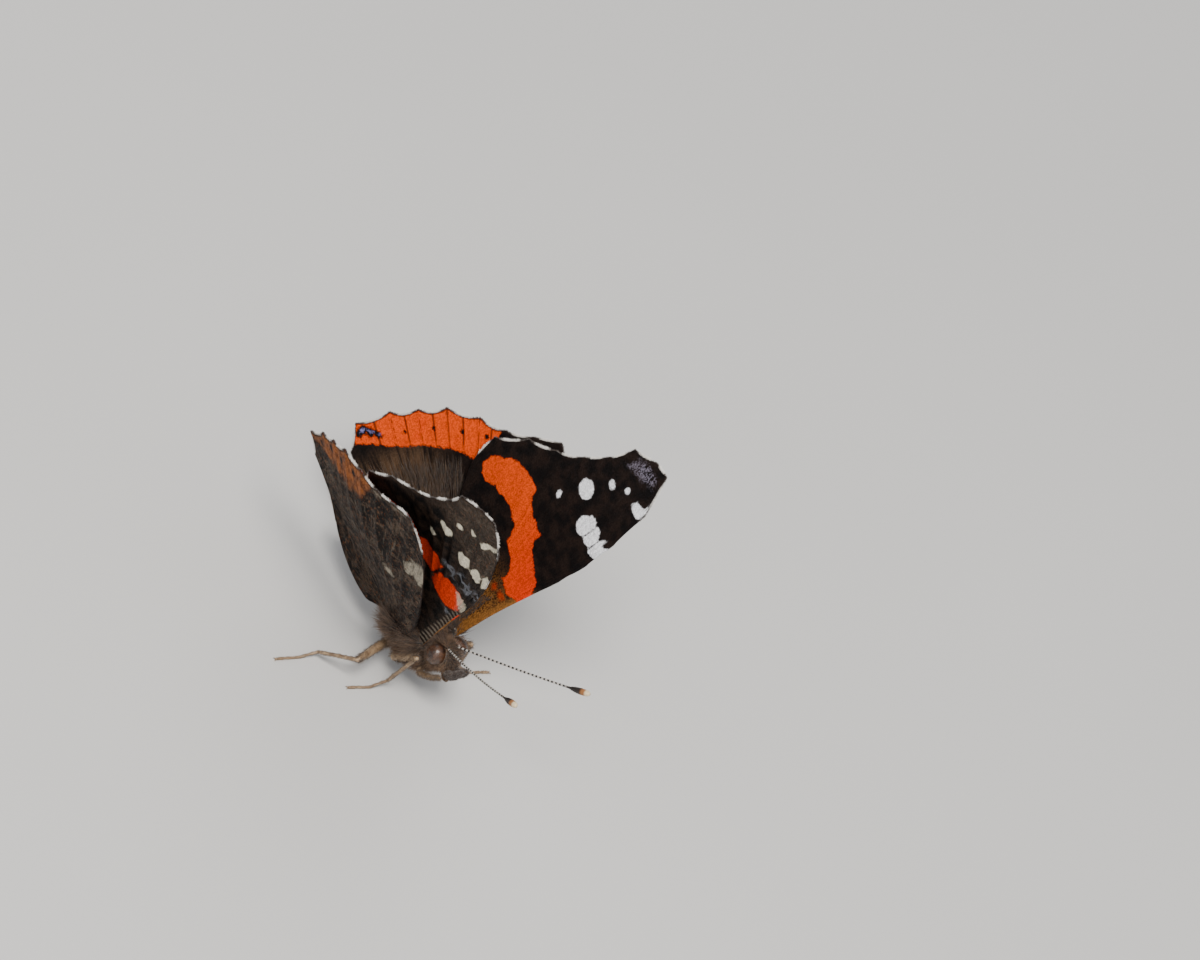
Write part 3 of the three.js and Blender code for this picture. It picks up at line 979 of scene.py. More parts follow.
FOREWING_MARKS: dict[str, Sequence[Outline]] = {
    "band": [
        [(-9.4, 13.2), (-9.3, 14.4), (-8.2, 15.5), (-6.6, 16.7), (-4.2, 17.2), (-3.0, 17), (-2.8, 16.1),
         (-1.8, 15.4), (0, 14.8), (1, 14.9), (0.6, 13.9), (1.2, 13.1), (2.8, 12.2), (4.1, 11.6),
         (4.6, 10.3), (4.0, 9.0), (2.4, 8.1), (0.6, 8.6), (1.0, 9.4), (0.1, 10.5), (-1.6, 11.2),
         (-2.1, 12.8), (-3.9, 13.4), (-5.0, 13.3), (-6.8, 13.1), (-7.9, 12.5), (-8.9, 12.6)],
    ],
    "flecks": [oval(0.6, 7.3, 0.35, 0.3), oval(1.9, 7.4, 0.45, 0.35)],
    "white": [
        oval(-0.75, 18.9, 0.34, 0.4), oval(1.15, 21.8, 1.0, 0.95), oval(2.95, 24.5, 0.5, 0.4),
        oval(4.7, 25.6, 0.32, 0.35),
        [(2.8, 19.0), (2.8, 20), (3.6, 20.9), (4.5, 21), (4.7, 20.3), (4.4, 18.9), (3.6, 18.5)],
        [(4.5, 18.7), (4.85, 20.8), (5.5, 20.8), (5.95, 20.2), (5.7, 18.8)],
        [(5.85, 18.5), (6.1, 20.3), (6.8, 20.9), (6.7, 20.1), (7.4, 20.6), (7.2, 18.9), (6.5, 18.5)],
        [(6.0, 25.2), (6.2, 26.0), (7.2, 26.1), (7.9, 26.4), (7.8, 25.3), (7.3, 24.9), (6.6, 24.9)],
        [(7.6, 26.6), (7.55, 27.4), (8.3, 27.9), (8.3, 26.6)],
    ],
    "violet": [[(2.6, 27.0), (3.3, 28.4), (4.4, 28.9), (6.0, 28.9), (6.6, 28.2), (5.0, 27.6)]],
    "under_band": [
        [(-8.6, 13.4), (-6.8, 15.4), (-4.4, 16.2), (-2.3, 15.3), (-1.5, 15.6), (-0.1, 15.5), (1.2, 14.8),
         (0.3, 12.9), (-0.3, 12.2), (-1.5, 12.8), (-3.4, 12.9), (-5.6, 12.4), (-8.0, 12.0)],
        [(0.2, 12.1), (1.0, 13.4), (2.7, 13.9), (4.3, 13.5), (4.9, 12.8), (4.3, 11.0), (2.5, 9.6),
         (1.2, 10.1), (0.3, 10.8)],
    ],
    "under_pale": [
        oval(-0.9, 18.2, 0.36, 0.5), oval(0.75, 20.8, 0.95, 0.7), oval(2.5, 23.6, 0.42, 0.4),
        oval(4.3, 25.0, 0.34, 0.35),
        [(2.7, 19.3), (3.4, 20.3), (4.4, 20.1), (4.6, 19.2), (3.9, 18.2), (3.0, 18.3)],
        [(4.7, 18.9), (5.3, 19.9), (6.2, 20.1), (6.1, 18.5), (5.1, 18.1)],
        [(6.35, 19.6), (6.9, 20.8), (7.8, 20.9), (7.4, 18.8), (6.5, 18.4)],
        [(5.3, 24.5), (6.2, 25.9), (7.2, 26.2), (7.9, 26.8), (7.7, 25.9), (6.8, 25.4), (5.9, 24.3)],
    ],
    "under_pink": [[(3.4, 13.6), (4.9, 13.3), (5.4, 12.2), (4.9, 11.2), (4.0, 11.6)]],
    "under_blue": [
        oval(2.2, 15.6, 1.0, 0.9), oval(4.3, 15.8, 1.2, 1.2), oval(6.2, 16.1, 0.7, 0.9),
        oval(2.6, 9.0, 0.7, 0.35),
    ],
}

HINDWING_MARKS: dict[str, Sequence[Outline]] = {
    "border": [
        [(-20, 3.0), (-18.0, 3.6), (-16.6, 5.2), (-15.2, 6.6), (-14.3, 7.5), (-13.0, 9.2), (-10.9, 11.3),
         (-9.2, 12.3), (-7.9, 12.7), (-7.3, 14.6), (-9.0, 17.9), (-13.0, 17.6), (-19, 12), (-21, 5)],
    ],
    "dots": [
        oval(-15.0, 8.8, 0.26, 0.22), oval(-13.3, 11.3, 0.28, 0.24), oval(-11.1, 13.4, 0.3, 0.26),
        oval(-9.0, 15.1, 0.28, 0.26),
    ],
    "blue": [oval(-18.15, 5.3, 0.2, 0.42), oval(-17.4, 6.0, 0.3, 0.2), oval(-16.6, 6.6, 0.22, 0.15)],
    "blue_ring": [oval(-18.15, 5.2, 0.45, 0.8), oval(-17.4, 5.9, 0.6, 0.45), oval(-16.6, 6.5, 0.5, 0.3)],
    "under_patch": [
        [(-1.5, 14.3), (-0.8, 16.0), (0.7, 17.5), (1.7, 18.0), (2.1, 16.6), (1.2, 14.4), (-0.1, 14.1),
         (-0.8, 13.4)],
        [(-3.4, 9.4), (-2.7, 10.3), (-1.9, 10.1), (-2.4, 9.2)],
    ],
    "under_line": [
        [(-9.1, 16.8), (-7.5, 18.2), (-5.4, 20.1), (-3.4, 21.2), (-3.8, 19.9), (-6.2, 18.0), (-8.1, 16.3)],
    ],
    # painted light: where the orange border of the upper face shines through the wing onto the under face
    "under_zone": [
        [(-19.0, 5.0), (-16.5, 6.7), (-13.6, 9.2), (-10.9, 11.6), (-9.0, 13.6), (-8.9, 16.2), (-11.1, 16.4),
         (-13.6, 14.4), (-17.0, 10.0), (-20.0, 6.0)],
    ],
    "under_dots": [
        oval(-17.2, 6.9, 0.36, 0.3), oval(-15.6, 9.3, 0.4, 0.34), oval(-13.6, 11.4, 0.42, 0.36),
        oval(-11.3, 13.7, 0.42, 0.36), oval(-7.9, 15.9, 0.4, 0.36),
    ],
}


@dataclass(frozen=True)
class Line:
    """One line of a wing from its hinge to its margin, a vein from the share start on."""

    end: Flat
    pull: Flat
    start: float
    dip: float


FOREWING_LINES = [
    Line((5.65, 13.8), (2.75, 6.5), 0, 0), Line((6.75, 17.5), (3.3, 8.4), 0, 0),
    Line((7.45, 21.2), (3.8, 10.4), 0.55, 0), Line((7.85, 25.8), (4.2, 12.6), 0.5, -0.12),
    Line((6.75, 30.0), (4.0, 14.6), 0.48, 0.05), Line((4.95, 29.85), (3.2, 14.3), 0.48, 0.15),
    Line((2.15, 28.5), (2.3, 13.8), 0.48, 0.45), Line((0.65, 25.7), (1.4, 12.4), 0.5, 0.2),
    Line((-1.4, 23.3), (0.7, 11.0), 0.5, 0.3), Line((-4.15, 21.0), (0.1, 9.6), 0.34, 0.25),
    Line((-7.3, 19.0), (-0.8, 8.0), 0.22, 0.3), Line((-10.35, 15.8), (-3.6, 6.6), 0, 0),
    Line((-10.55, 12.4), (-9.3, 7.4), 0, 0),
]
HINDWING_LINES = [
    Line((2.4, 10.4), (3.1, 4.6), 0, -0.3), Line((0.6, 18.3), (2.0, 8.6), 0, -0.25),
    Line((-3.2, 20.9), (0.5, 9.6), 0.2, 0.1), Line((-5.6, 19.0), (-0.8, 9.4), 0.4, 0.3),
    Line((-8.0, 17.1), (-2.2, 8.6), 0.45, 0.35), Line((-10.75, 15.75), (-3.4, 7.8), 0.45, 0.35),
    Line((-13.75, 13.7), (-4.8, 6.6), 0.38, 0.4), Line((-15.7, 11.2), (-6.0, 5.2), 0.25, 0.4),
    Line((-17.5, 8.75), (-7.4, 3.8), 0.15, 0.35), Line((-19.1, 5.25), (-8.8, 1.9), 0.1, 0.3),
    Line((-17.4, 3.0), (-8.4, 0.2), 1, -0.1), Line((-13.6, 1.9), (-6.6, -2.7), 0, 0),
]


def forewing_bend(ahead: Array, out: Array, swell: float) -> Array:
    """How far the forewing is drawn in toward the other one, whatever its swell."""
    return -0.6 * np.sin(np.pi * np.clip(out / 30, 0, 1)) * (0.6 - 0.03 * ahead)


def hindwing_bend(ahead: Array, out: Array, swell: float) -> Array:
    """How far the hindwing swells over the forewing and flares round the abdomen.

    Args:
        ahead: Places ahead along the wing.
        out: Places out along the wing.
        swell: How far the middle stands off, in millimetres.

    Returns:
        The distance off the plane, away from the body.
    """
    over = swell * np.exp(-((ahead + 7.5) ** 2 + (out - 10.5) ** 2) / 45)
    drop = np.maximum(2.2 - out, 0) * np.clip((-ahead - 1) / 2.5, 0, 1)
    return over + 0.42 * drop * drop / (drop + 1.2)


@dataclass(frozen=True)
class WingSet:
    """Where a wing is hinged and how it is turned, in millimetres and degrees."""

    side: Side
    hinge: Place
    lean: float
    toe: float
    sweep: float = 0.0
    swell: float = 0.0

    def axes(self) -> tuple[Array, Array, Array]:
        """The wing's own directions as (ahead, side, up).

        Returns:
            Ahead, out, and outward from the body.
        """
        lean, toe = math.radians(self.lean), math.radians(self.toe)
        sign = self.side.value
        outward = np.array([math.cos(lean) * math.sin(toe), sign * math.cos(lean) * math.cos(toe),
                            -math.sin(lean)])
        ahead = unit(np.array([1.0, 0, 0]) - outward * outward[0])
        out = np.cross(outward, ahead)
        return ahead, out * np.sign(out[2]), outward

    def place(self, ahead: Array, out: Array, off: Array) -> Array:
        """Turns places of the wing into rows of (ahead, side, up).

        Args:
            ahead: Places ahead along the wing.
            out: Places out along the wing.
            off: Places off its plane, away from the body.

        Returns:
            The rows, in millimetres.
        """
        forward, outer, outward = self.axes()
        sweep = math.radians(self.sweep)
        turned_ahead = ahead * math.cos(sweep) - out * math.sin(sweep)
        turned_out = ahead * math.sin(sweep) + out * math.cos(sweep)
        hinge = np.array([self.hinge[0], self.side.value * self.hinge[1], self.hinge[2]])
        return (hinge + turned_ahead[:, None] * forward + turned_out[:, None] * outer
                + off[:, None] * outward)


@dataclass
class Wing:
    """One wing: a thin sheet with raised veins, coloured scales and a fringe."""

    node: str
    stance: Stance
    set: WingSet
    lines: Sequence[Line]
    marks: dict[str, Sequence[Outline]]
    bend: Callable[[Array, Array, float], Array]
    slot: str
    steps_between: int = 10
    steps_out: int = 96
    thickness: float = 0.26
    membrane_share: float = 0.4
    vein_width: float = 0.2
    vein_steps: int = 60
    vein_reach: float = 9.0
    pleat: float = 0.07
    root_half_width: float = 0.85
    root_out: float = 0.4
    fringe_step: float = 0.024
    fringe_root: float = 0.05
    fringe_radius: float = 0.032
    fringe_steps: int = 400

    def flat(self, across: Array, along: Array) -> Array:
        """Places in the plane of the wing.

        Args:
            across: Shares from the leading line to the last one.
            along: Shares from the hinge to the margin.

        Returns:
            Rows of (ahead, out).
        """
        last = len(self.lines) - 1
        first = np.minimum((across * last).astype(int), last - 1)
        share = across * last - first
        ends = np.array([line.end for line in self.lines])
        pulls = np.array([line.pull for line in self.lines])
        dips = np.array([line.dip for line in self.lines])[first]
        mixed = share[:, None]
        end = ends[first] * (1 - mixed) + ends[first + 1] * mixed
        pull = pulls[first] * (1 - mixed) + pulls[first + 1] * mixed
        end = end * (1 - dips * 4 * share * (1 - share) / np.linalg.norm(end, axis=1))[:, None]
        root_ahead = self.root_half_width * (1 - 2 * across)
        root = np.column_stack([root_ahead, np.full(len(across), self.root_out)])
        t = along[:, None]
        return (1 - t) ** 2 * root + 2 * (1 - t) * t * pull + t * t * end

    def off_plane(self, flat: Array, across: Array, along: Array) -> Array:
        """How far the middle of the wing lies off its plane, with soft pleats between veins.

        Args:
            flat: Rows of (ahead, out).
            across: Shares from the leading line to the last one.
            along: Shares from the hinge to the margin.

        Returns:
            The distance for each place, in millimetres.
        """
        share = across * (len(self.lines) - 1)
        ripple = self.pleat * np.cos(2 * np.pi * share) * np.clip(along * 1.5 - 0.4, 0, 1)
        bend = self.bend(flat[:, 0], flat[:, 1], self.set.swell) * np.minimum(1, along * 4)
        return bend + ripple * np.clip((1 - along) * 6, 0.4, 1)

    def spots(self, across: Array, along: Array) -> Array:
        """Points of the frame on the middle of the wing, in metres."""
        flat = self.flat(across, along)
        return self.stance.rows(self.set.place(flat[:, 0], flat[:, 1], self.off_plane(flat, across, along)))

    def vein_distance(self, flat: Array) -> Array:
        """How far each place is from the nearest vein, in millimetres.

        Args:
            flat: Rows of (ahead, out).

        Returns:
            The distances.
        """
        best = np.full(len(flat), self.vein_reach)
        last = len(self.lines) - 1
        for k, line in enumerate(self.lines):
            if line.start >= 1 or k == last:
                continue
            along = np.linspace(max(line.start, 0.02), 1.0, self.vein_steps)
            path = self.flat(np.full(self.vein_steps, k / last), along)
            gap = np.linalg.norm(flat[:, None] - path[None], axis=-1).min(axis=1)
            best = np.minimum(best, gap)
        return best

    def sheet(self) -> Mesh:
        """The wing as one surface, its upper face outermost, with the values that its finish reads.

        Returns:
            The mesh.
        """
        build = bmesh.new()
        columns = (len(self.lines) - 1) * self.steps_between
        bmesh.ops.create_grid(build, x_segments=columns, y_segments=self.steps_out, size=1.0)
        grid = np.array([vert.co[:] for vert in build.verts])
        across, along = (grid[:, 0] + 1) / 2, (grid[:, 1] + 1) / 2
        for vert, spot in zip(build.verts, self.spots(across, along)):
            vert.co = spot
        build.normal_update()
        upper = Vector(self.stance.rows(-self.set.axes()[2][None])[0]) - Vector(self.stance.shift)
        facing = sum((face.normal for face in build.faces), Vector())
        if facing.dot(upper) < 0:
            bmesh.ops.reverse_faces(build, faces=build.faces)
        mesh = bpy.data.meshes.new(self.node + "_sheet")
        build.to_mesh(mesh)
        build.free()
        self._store(mesh, across, along)
        return mesh

    def _store(self, mesh: Mesh, across: Array, along: Array) -> None:
        """Stores what the finishes read: the place on the wing and distances to its markings.

        Args:
            mesh: The mesh of the wing.
            across: For each point its share from the leading line to the last one.
            along: For each point its share from the hinge to the margin.
        """
        flat = self.flat(across, along)
        set_values(mesh, "place", np.column_stack([flat, np.zeros(len(flat))]))
        set_values(mesh, "vein", self.vein_distance(flat))
        set_values(mesh, "cell", (across * (len(self.lines) - 1)) % 1.0)
        edge = np.linalg.norm(flat - self.flat(across, np.ones(len(across))), axis=1)
        set_values(mesh, "margin", edge)
        for name, outlines in self.marks.items():
            set_values(mesh, name, depth_inside(flat, outlines))

    def make(self, finishes: dict[Face, Material], fringe: Material) -> None:
        """Adds the wing and its fringe to the scene.

        Args:
            finishes: The finish of each face.
            fringe: The finish of the fringe.
        """
        mesh = self.sheet()
        both = [finishes[face] for face in Face]
        sheet = add_piece(self.node + "_sheet", mesh, both, self.slot, [self.node])
        distance = np.empty(len(mesh.vertices))
        mesh.attributes["vein"].data.foreach_get("value", distance)
        swell = np.exp(-((distance / self.vein_width) ** 2))
        group = sheet.vertex_groups.new(name="thickness")
        for index, share in enumerate(self.membrane_share + (1 - self.membrane_share) * swell):
            group.add([index], float(share), "REPLACE")
        solid = sheet.modifiers.new("thickness", "SOLIDIFY")
        solid.thickness = self.thickness * MM
        solid.offset = 0.0
        solid.vertex_group = group.name
        solid.material_offset = Face.UNDER.value
        solid.use_even_offset = False
        strands = self.fringe()
        add_piece(self.node + "_fringe", strands.mesh(self.node + "_fringe"), [fringe], self.slot)

    def fringe(self) -> Strands:
        """The hairs along the outer margin, white between the veins and dark at their ends.

        Returns:
            The hairs.
        """
        draw = np.random.default_rng(len(self.node) + self.set.side.value)
        first, last = self.fringe_span
        whole = len(self.lines) - 1
        fine = np.linspace(first / whole, last / whole, self.fringe_steps)
        edge = self.spots(fine, np.ones(self.fringe_steps))
        pieces = np.linalg.norm(np.diff(edge, axis=0), axis=1)
        travelled = np.concatenate([[0], np.cumsum(pieces)]) / MM
        count = int(travelled[-1] / self.fringe_step) * 2
        across = np.interp(draw.random(count) * travelled[-1], travelled, fine)
        rim = self.spots(across, np.ones(count))
        inner = self.spots(across, np.full(count, 0.965))
        beside = unit(self.spots(np.clip(across + 0.002, 0, 1), np.ones(count)) - rim)
        outwards = unit(rim - inner)
        outwards = unit(outwards - beside * (outwards * beside).sum(axis=1, keepdims=True) * 0.8)
        share = (across * whole) % 1.0
        near_vein = np.minimum(share, 1 - share)
        white = np.clip((near_vein - 0.2) / 0.09 + draw.normal(0, 0.2, count), 0, 1)
        lengths = (0.19 + 0.12 * white) * draw.uniform(0.5, 1.2, count) * MM
        spread = draw.normal(0, 0.2, (count, 3))
        flat = self.flat(across, np.ones(count))
        return Strands(
            roots=rim - outwards * self.fringe_root * MM + self._face_offset(draw, count),
            directions=unit(outwards + spread), lengths=lengths,
            widths=np.full(count, self.fringe_radius * MM), tones=white, places=flat / MAP_SPAN + 0.5)

    def _face_offset(self, draw: np.random.Generator, count: int) -> Array:
        """Small moves off the plane, so that a fringe has a thickness.

        Args:
            draw: The random draws.
            count: How many hairs.

        Returns:
            A move for each hair, in metres.
        """
        outward = self.set.axes()[2]
        turned = np.array([outward[1], -outward[0], outward[2]])
        return draw.uniform(-0.05, 0.05, (count, 1)) * MM * turned

    @property
    def fringe_span(self) -> tuple[float, float]:
        """The first and last line numbers that the fringe runs between."""
        return (2.8, 11.9) if self.slot == "forewings" else (1.2, 11.0)


@dataclass(frozen=True)
class WingPalette:
    """The colours of the wing scales."""

    black: Colour = (0.0035, 0.0026, 0.0026)
    brown: Colour = (0.014, 0.008, 0.006)
    bronze: Colour = (0.30, 0.125, 0.028)
    streak: Colour = (0.10, 0.058, 0.032)
    red: Colour = (0.66, 0.034, 0.0)
    orange: Colour = (0.74, 0.066, 0.0)
    white: Colour = (0.86, 0.86, 0.88)
    violet: Colour = (0.28, 0.25, 0.32)
    blue: Colour = (0.20, 0.18, 0.42)
    cream: Colour = (0.66, 0.60, 0.46)
    ash: Colour = (0.175, 0.145, 0.11)
    pink: Colour = (0.60, 0.25, 0.18)
    grey: Colour = (0.074, 0.053, 0.037)
    umber: Colour = (0.030, 0.018, 0.012)
    rust: Colour = (0.33, 0.10, 0.025)
    slate: Colour = (0.13, 0.135, 0.15)


class WingFinish:
    """The finishes of the wing faces, with the scale rows, ragged masks and relief that they share."""

    ROUGHNESS = 0.72
    GLOSS = 0.1

    def __init__(self, name: str, effects: Effects, palette: WingPalette) -> None:
        """Starts the material and reads the values that the wing carries.

        Args:
            name: The name of the finish.
            effects: The shared effects.
            palette: The colours.
        """
        self.effects = effects
        self.palette = palette
        parts = new_material(name, self.ROUGHNESS, Specular_IOR_Level=self.GLOSS)
        self.material, self.bench, self.shader = parts
        self.place = self.bench.attribute("place", vector=True)
        place = self.bench.parts(self.place)
        self.ahead = place["X"]
        self.out = place["Y"]
        length = self.bench.fed("ShaderNodeVectorMath", self.place, operation="LENGTH")
        self.from_hinge = length.outputs["Value"]
        scales = self.bench.group(effects.scales, Place=self.place)
        self.tint = scales.outputs["Tint"]
        self.relief = scales.outputs["Height"]
        self.vein = self.bench.attribute("vein")
        self.margin = self.bench.attribute("margin")
        self.cell = self.bench.attribute("cell")

    def mask(self, name: str, ragged: float = 0.35, soft: float = 0.09) -> Socket:
        """One inside a marking, its edge broken up by scales.

        Args:
            name: The marking.
            ragged: How far scales stray over its edge.
            soft: How soft the edge is.

        Returns:
            The mask.
        """
        made = self.bench.group(self.effects.ragged, Distance=self.bench.attribute(name), Place=self.place,
                                Raggedness=ragged, Softness=soft)
        return made.outputs["Mask"]

    def round_hinge(self) -> Socket:
        """The place on the wing as its turn round the hinge and its distance from it."""
        return self.bench.fed("ShaderNodeCombineXYZ", self.turn(), self.from_hinge).outputs[0]

    def turn(self) -> Socket:
        """The turn round the hinge, in radians."""
        return self.bench.math("ARCTAN2", self.ahead, self.out)

    def rays(self) -> Socket:
        """Fine streaks that radiate from the hinge."""
        return self.bench.noise(self.round_hinge(), 1.0, 4.0, (38.0, 0.3, 1.0))

    def near_vein(self, width: float) -> Socket:
        """One on a vein, nothing past its width.

        Args:
            width: Half the width, in millimetres.

        Returns:
            The mask.
        """
        made = self.bench.group(self.effects.ragged, Place=self.place, Raggedness=0.14, Softness=0.06,
                                Distance=self.bench.math("SUBTRACT", self.vein, width))
        return made.outputs["Mask"]

    def times(self, first: Value, second: Value) -> Socket:
        """The product of two masks."""
        return self.bench.math("MULTIPLY", first, second)

    def finish(self, colour: Socket) -> Material:
        """Ends the material with its relief and its gloss.

        Args:
            colour: The colour before the single scales are told apart.

        Returns:
            The material.
        """
        bench = self.bench
        single = bench.ramp(self.tint, 0.25, 0.75, 0.78, 1.22)
        bench.link(bench.scaled(colour, single), self.shader.inputs["Base Color"])
        bench.link(bench.ramp(self.tint, 0.2, 0.8, 0.82, 0.58), self.shader.inputs["Roughness"])
        ridges = bench.math("ADD", self.relief, bench.ramp(self.vein, 0.02, 0.22, 0.8, 0.0))
        bench.link(bench.bump(ridges, 0.45, 0.00004), self.shader.inputs["Normal"])
        return self.material

    def forewing_upper(self) -> Material:
        """The black forewing with its red band and its white marks.

        Returns:
            The material.
        """
        bench, shades = self.bench, self.palette
        cloud = bench.noise(self.place, 0.7, 3.0)
        colour = bench.blend(bench.ramp(cloud, 0.35, 0.65), shades.black, shades.brown)
        root = bench.ramp(bench.math("ADD", self.out, bench.math("MULTIPLY", self.ahead, -0.15)), 11.0, 2.5)
        dusting = self.times(root, bench.ramp(self.tint, 0.3, 0.7, 0.2, 0.9))
        colour = bench.blend(dusting, colour, shades.bronze)
        front = bench.ramp(bench.math("MULTIPLY_ADD", self.out, -0.44, self.ahead), -0.9, -0.2)
        costa = self.times(front, bench.ramp(self.out, 12.0, 8.0))
        colour = bench.blend(self.times(costa, 0.7), colour, shades.bronze)
        redder = bench.ramp(bench.math("ADD", self.ahead, cloud), -4.0, 5.0)
        band = bench.blend(redder, shades.orange, shades.red)
        band = bench.blend(self.times(self.near_vein(0.03), 0.6), band, shades.brown)
        colour = bench.blend(self.mask("band", 0.5), colour, band)
        colour = bench.blend(self.times(self.mask("flecks", 0.6, 0.3), 0.45), colour, shades.red)
        colour = bench.blend(self.mask("white", 0.34), colour, shades.white)
        violet = self.times(self.mask("violet", 0.9, 0.35), bench.ramp(self.tint, 0.42, 0.62, 0.0, 0.5))
        colour = bench.blend(violet, colour, shades.violet)
        return self.finish(colour)

    def hindwing_upper(self) -> Material:
        """The brown hindwing with its orange border, black dots and blue corner spots.

        Returns:
            The material.
        """
        bench, shades = self.bench, self.palette
        cloud = bench.noise(self.place, 0.6, 3.0)
        colour = bench.blend(bench.ramp(cloud, 0.3, 0.7), shades.black, shades.brown)
        sector = self.times(bench.ramp(self.turn(), -0.7, -1.05), bench.ramp(self.from_hinge, 17.5, 14.0))
        streaks = self.times(sector, bench.ramp(self.rays(), 0.36, 0.62, 0.1, 1.0))
        colour = bench.blend(streaks, colour, shades.streak)
        base = self.times(bench.ramp(self.from_hinge, 8.0, 3.0), bench.ramp(self.tint, 0.3, 0.75, 0.15, 0.8))
        colour = bench.blend(base, colour, shades.streak)
        border = bench.blend(bench.ramp(cloud, 0.55, 0.8, 0.0, 0.5), shades.orange, shades.red)
        border = bench.blend(self.times(self.near_vein(0.09), 0.7), border, shades.brown)
        middle = bench.math("ABSOLUTE", bench.math("SUBTRACT", self.cell, 0.5))
        streak = self.times(bench.ramp(middle, 0.05, 0.015), bench.ramp(self.margin, 3.6, 2.2))
        border = bench.blend(self.times(streak, 0.75), border, shades.brown)
        colour = bench.blend(self.mask("border", 0.55, 0.12), colour, border)
        colour = bench.blend(self.mask("dots", 0.3), colour, shades.black)
        colour = bench.blend(self.mask("blue_ring", 0.45, 0.14), colour, shades.black)
        colour = bench.blend(self.times(self.mask("blue", 0.35), 0.85), colour, shades.blue)
        edge = bench.ramp(bench.math("MULTIPLY_ADD", self.tint, 0.12, self.margin), 0.3, 0.12)
        colour = bench.blend(self.times(edge, 0.85), colour, shades.brown)
        return self.finish(colour)

    def mottled(self, scale: float) -> Socket:
        """The bark-like marbling of the under faces, in waves that cross the cells.

        Args:
            scale: How fine it is.

        Returns:
            The colour.
        """
        bench, shades = self.bench, self.palette
        warped = bench.noise(self.place, scale, 5.0, distortion=1.6)
        fine = bench.noise(self.place, scale * 4.5, 3.0, distortion=0.8)
        stretched = bench.noise(self.place, scale * 1.6, 4.0, (1.0, 2.6, 1.0), 1.2)
        colour = bench.blend(bench.ramp(warped, 0.42, 0.56), shades.black, shades.umber)
        rays = self.rays()
        waves = bench.noise(self.round_hinge(), 1.0, 4.0, (5.0, 0.55, 1.0), 1.5)
        colour = bench.blend(bench.ramp(stretched, 0.5, 0.6, 0.0, 0.6), colour, shades.grey)
        colour = bench.blend(bench.ramp(waves, 0.54, 0.6, 0.0, 0.75), colour, shades.grey)
        colour = bench.blend(bench.ramp(waves, 0.47, 0.42, 0.0, 0.92), colour, shades.black)
        colour = bench.blend(bench.ramp(rays, 0.58, 0.72, 0.0, 0.35), colour, shades.ash)
        colour = bench.blend(bench.ramp(fine, 0.58, 0.68, 0.0, 0.3), colour, shades.rust)
        speckle = bench.math("MULTIPLY_ADD", rays, 0.5, fine)
        return bench.blend(bench.ramp(speckle, 0.7, 0.62, 0.0, 0.8), colour, shades.black)

    def forewing_under(self) -> Material:
        """The under face of the forewing, its pattern paler toward the tip.

        Returns:
            The material.
        """
        bench, shades = self.bench, self.palette
        cloud = bench.noise(self.place, 0.9, 3.0)
        dark = bench.blend(bench.ramp(cloud, 0.35, 0.65), shades.black, shades.umber)
        tip = bench.ramp(bench.math("MULTIPLY_ADD", self.ahead, 0.9, self.out), 22.5, 25.5)
        colour = bench.blend(tip, dark, bench.blend(0.3, self.mottled(0.9), shades.grey))
        band = bench.blend(bench.ramp(self.ahead, 3.4, 5.4), shades.red, shades.pink)
        band = bench.blend(self.times(self.near_vein(0.08), 0.8), band, shades.umber)
        colour = bench.blend(self.mask("under_band", 0.5, 0.15), colour, band)
        colour = bench.blend(self.times(self.mask("under_pink", 0.4, 0.2), 0.6), colour, shades.cream)
        bars = bench.math("SINE", bench.math("MULTIPLY", self.out, 8.4))
        costa = bench.ramp(bench.math("MULTIPLY_ADD", self.out, -0.40, self.ahead), -0.7, -0.3)
        comb = self.times(self.times(bench.ramp(bars, -0.1, 0.5), costa), bench.ramp(self.out, 12.5, 11.0))
        colour = bench.blend(self.times(comb, 0.85), colour, shades.ash)
        rings = bench.cells(self.place, 0.75, "DISTANCE_TO_EDGE").outputs["Distance"]
        blue = self.times(self.mask("under_blue", 0.8, 0.3), bench.ramp(rings, 0.2, 0.05))
        colour = bench.blend(self.times(blue, 0.9), colour, shades.slate)
        colour = bench.blend(self.mask("under_pale", 0.35, 0.12), colour, shades.cream)
        colour = bench.blend(bench.ramp(self.margin, 0.5, 0.2, 0.0, 0.75), colour, shades.umber)
        return self.finish(colour)

    def hindwing_under(self) -> Material:
        """The bark-like under face of the hindwing, with painted light where its orange upper border shines
        through.

        Returns:
            The material.
        """
        bench, shades = self.bench, self.palette
        colour = self.mottled(0.8)
        streaks = bench.ramp(self.rays(), 0.3, 0.55, 0.35, 0.95)
        pale = self.times(self.mask("under_patch", 0.9, 0.25), streaks)
        colour = bench.blend(pale, colour, bench.blend(0.7, shades.cream, shades.ash))
        # painted light: a cloudy rust band where the orange border of the upper face shines through the thin
        # wing
        cloud = bench.ramp(bench.noise(self.place, 1.1, 3.0), 0.35, 0.6, 0.25, 0.8)
        shine_through = self.times(self.mask("under_zone", 0.9, 0.4), cloud)
        colour = bench.blend(shine_through, colour, shades.rust)
        line = self.times(self.mask("under_line", 0.8, 0.25), bench.ramp(self.tint, 0.25, 0.6, 0.3, 0.9))
        colour = bench.blend(line, colour, shades.ash)
        colour = bench.blend(self.mask("under_dots", 0.4, 0.15), colour, shades.black)
        colour = bench.blend(self.times(self.near_vein(0.05), 0.5), colour, shades.umber)
        colour = bench.blend(bench.ramp(self.margin, 0.32, 0.12, 0.0, 0.8), colour, shades.umber)
        return self.finish(colour)


# Body


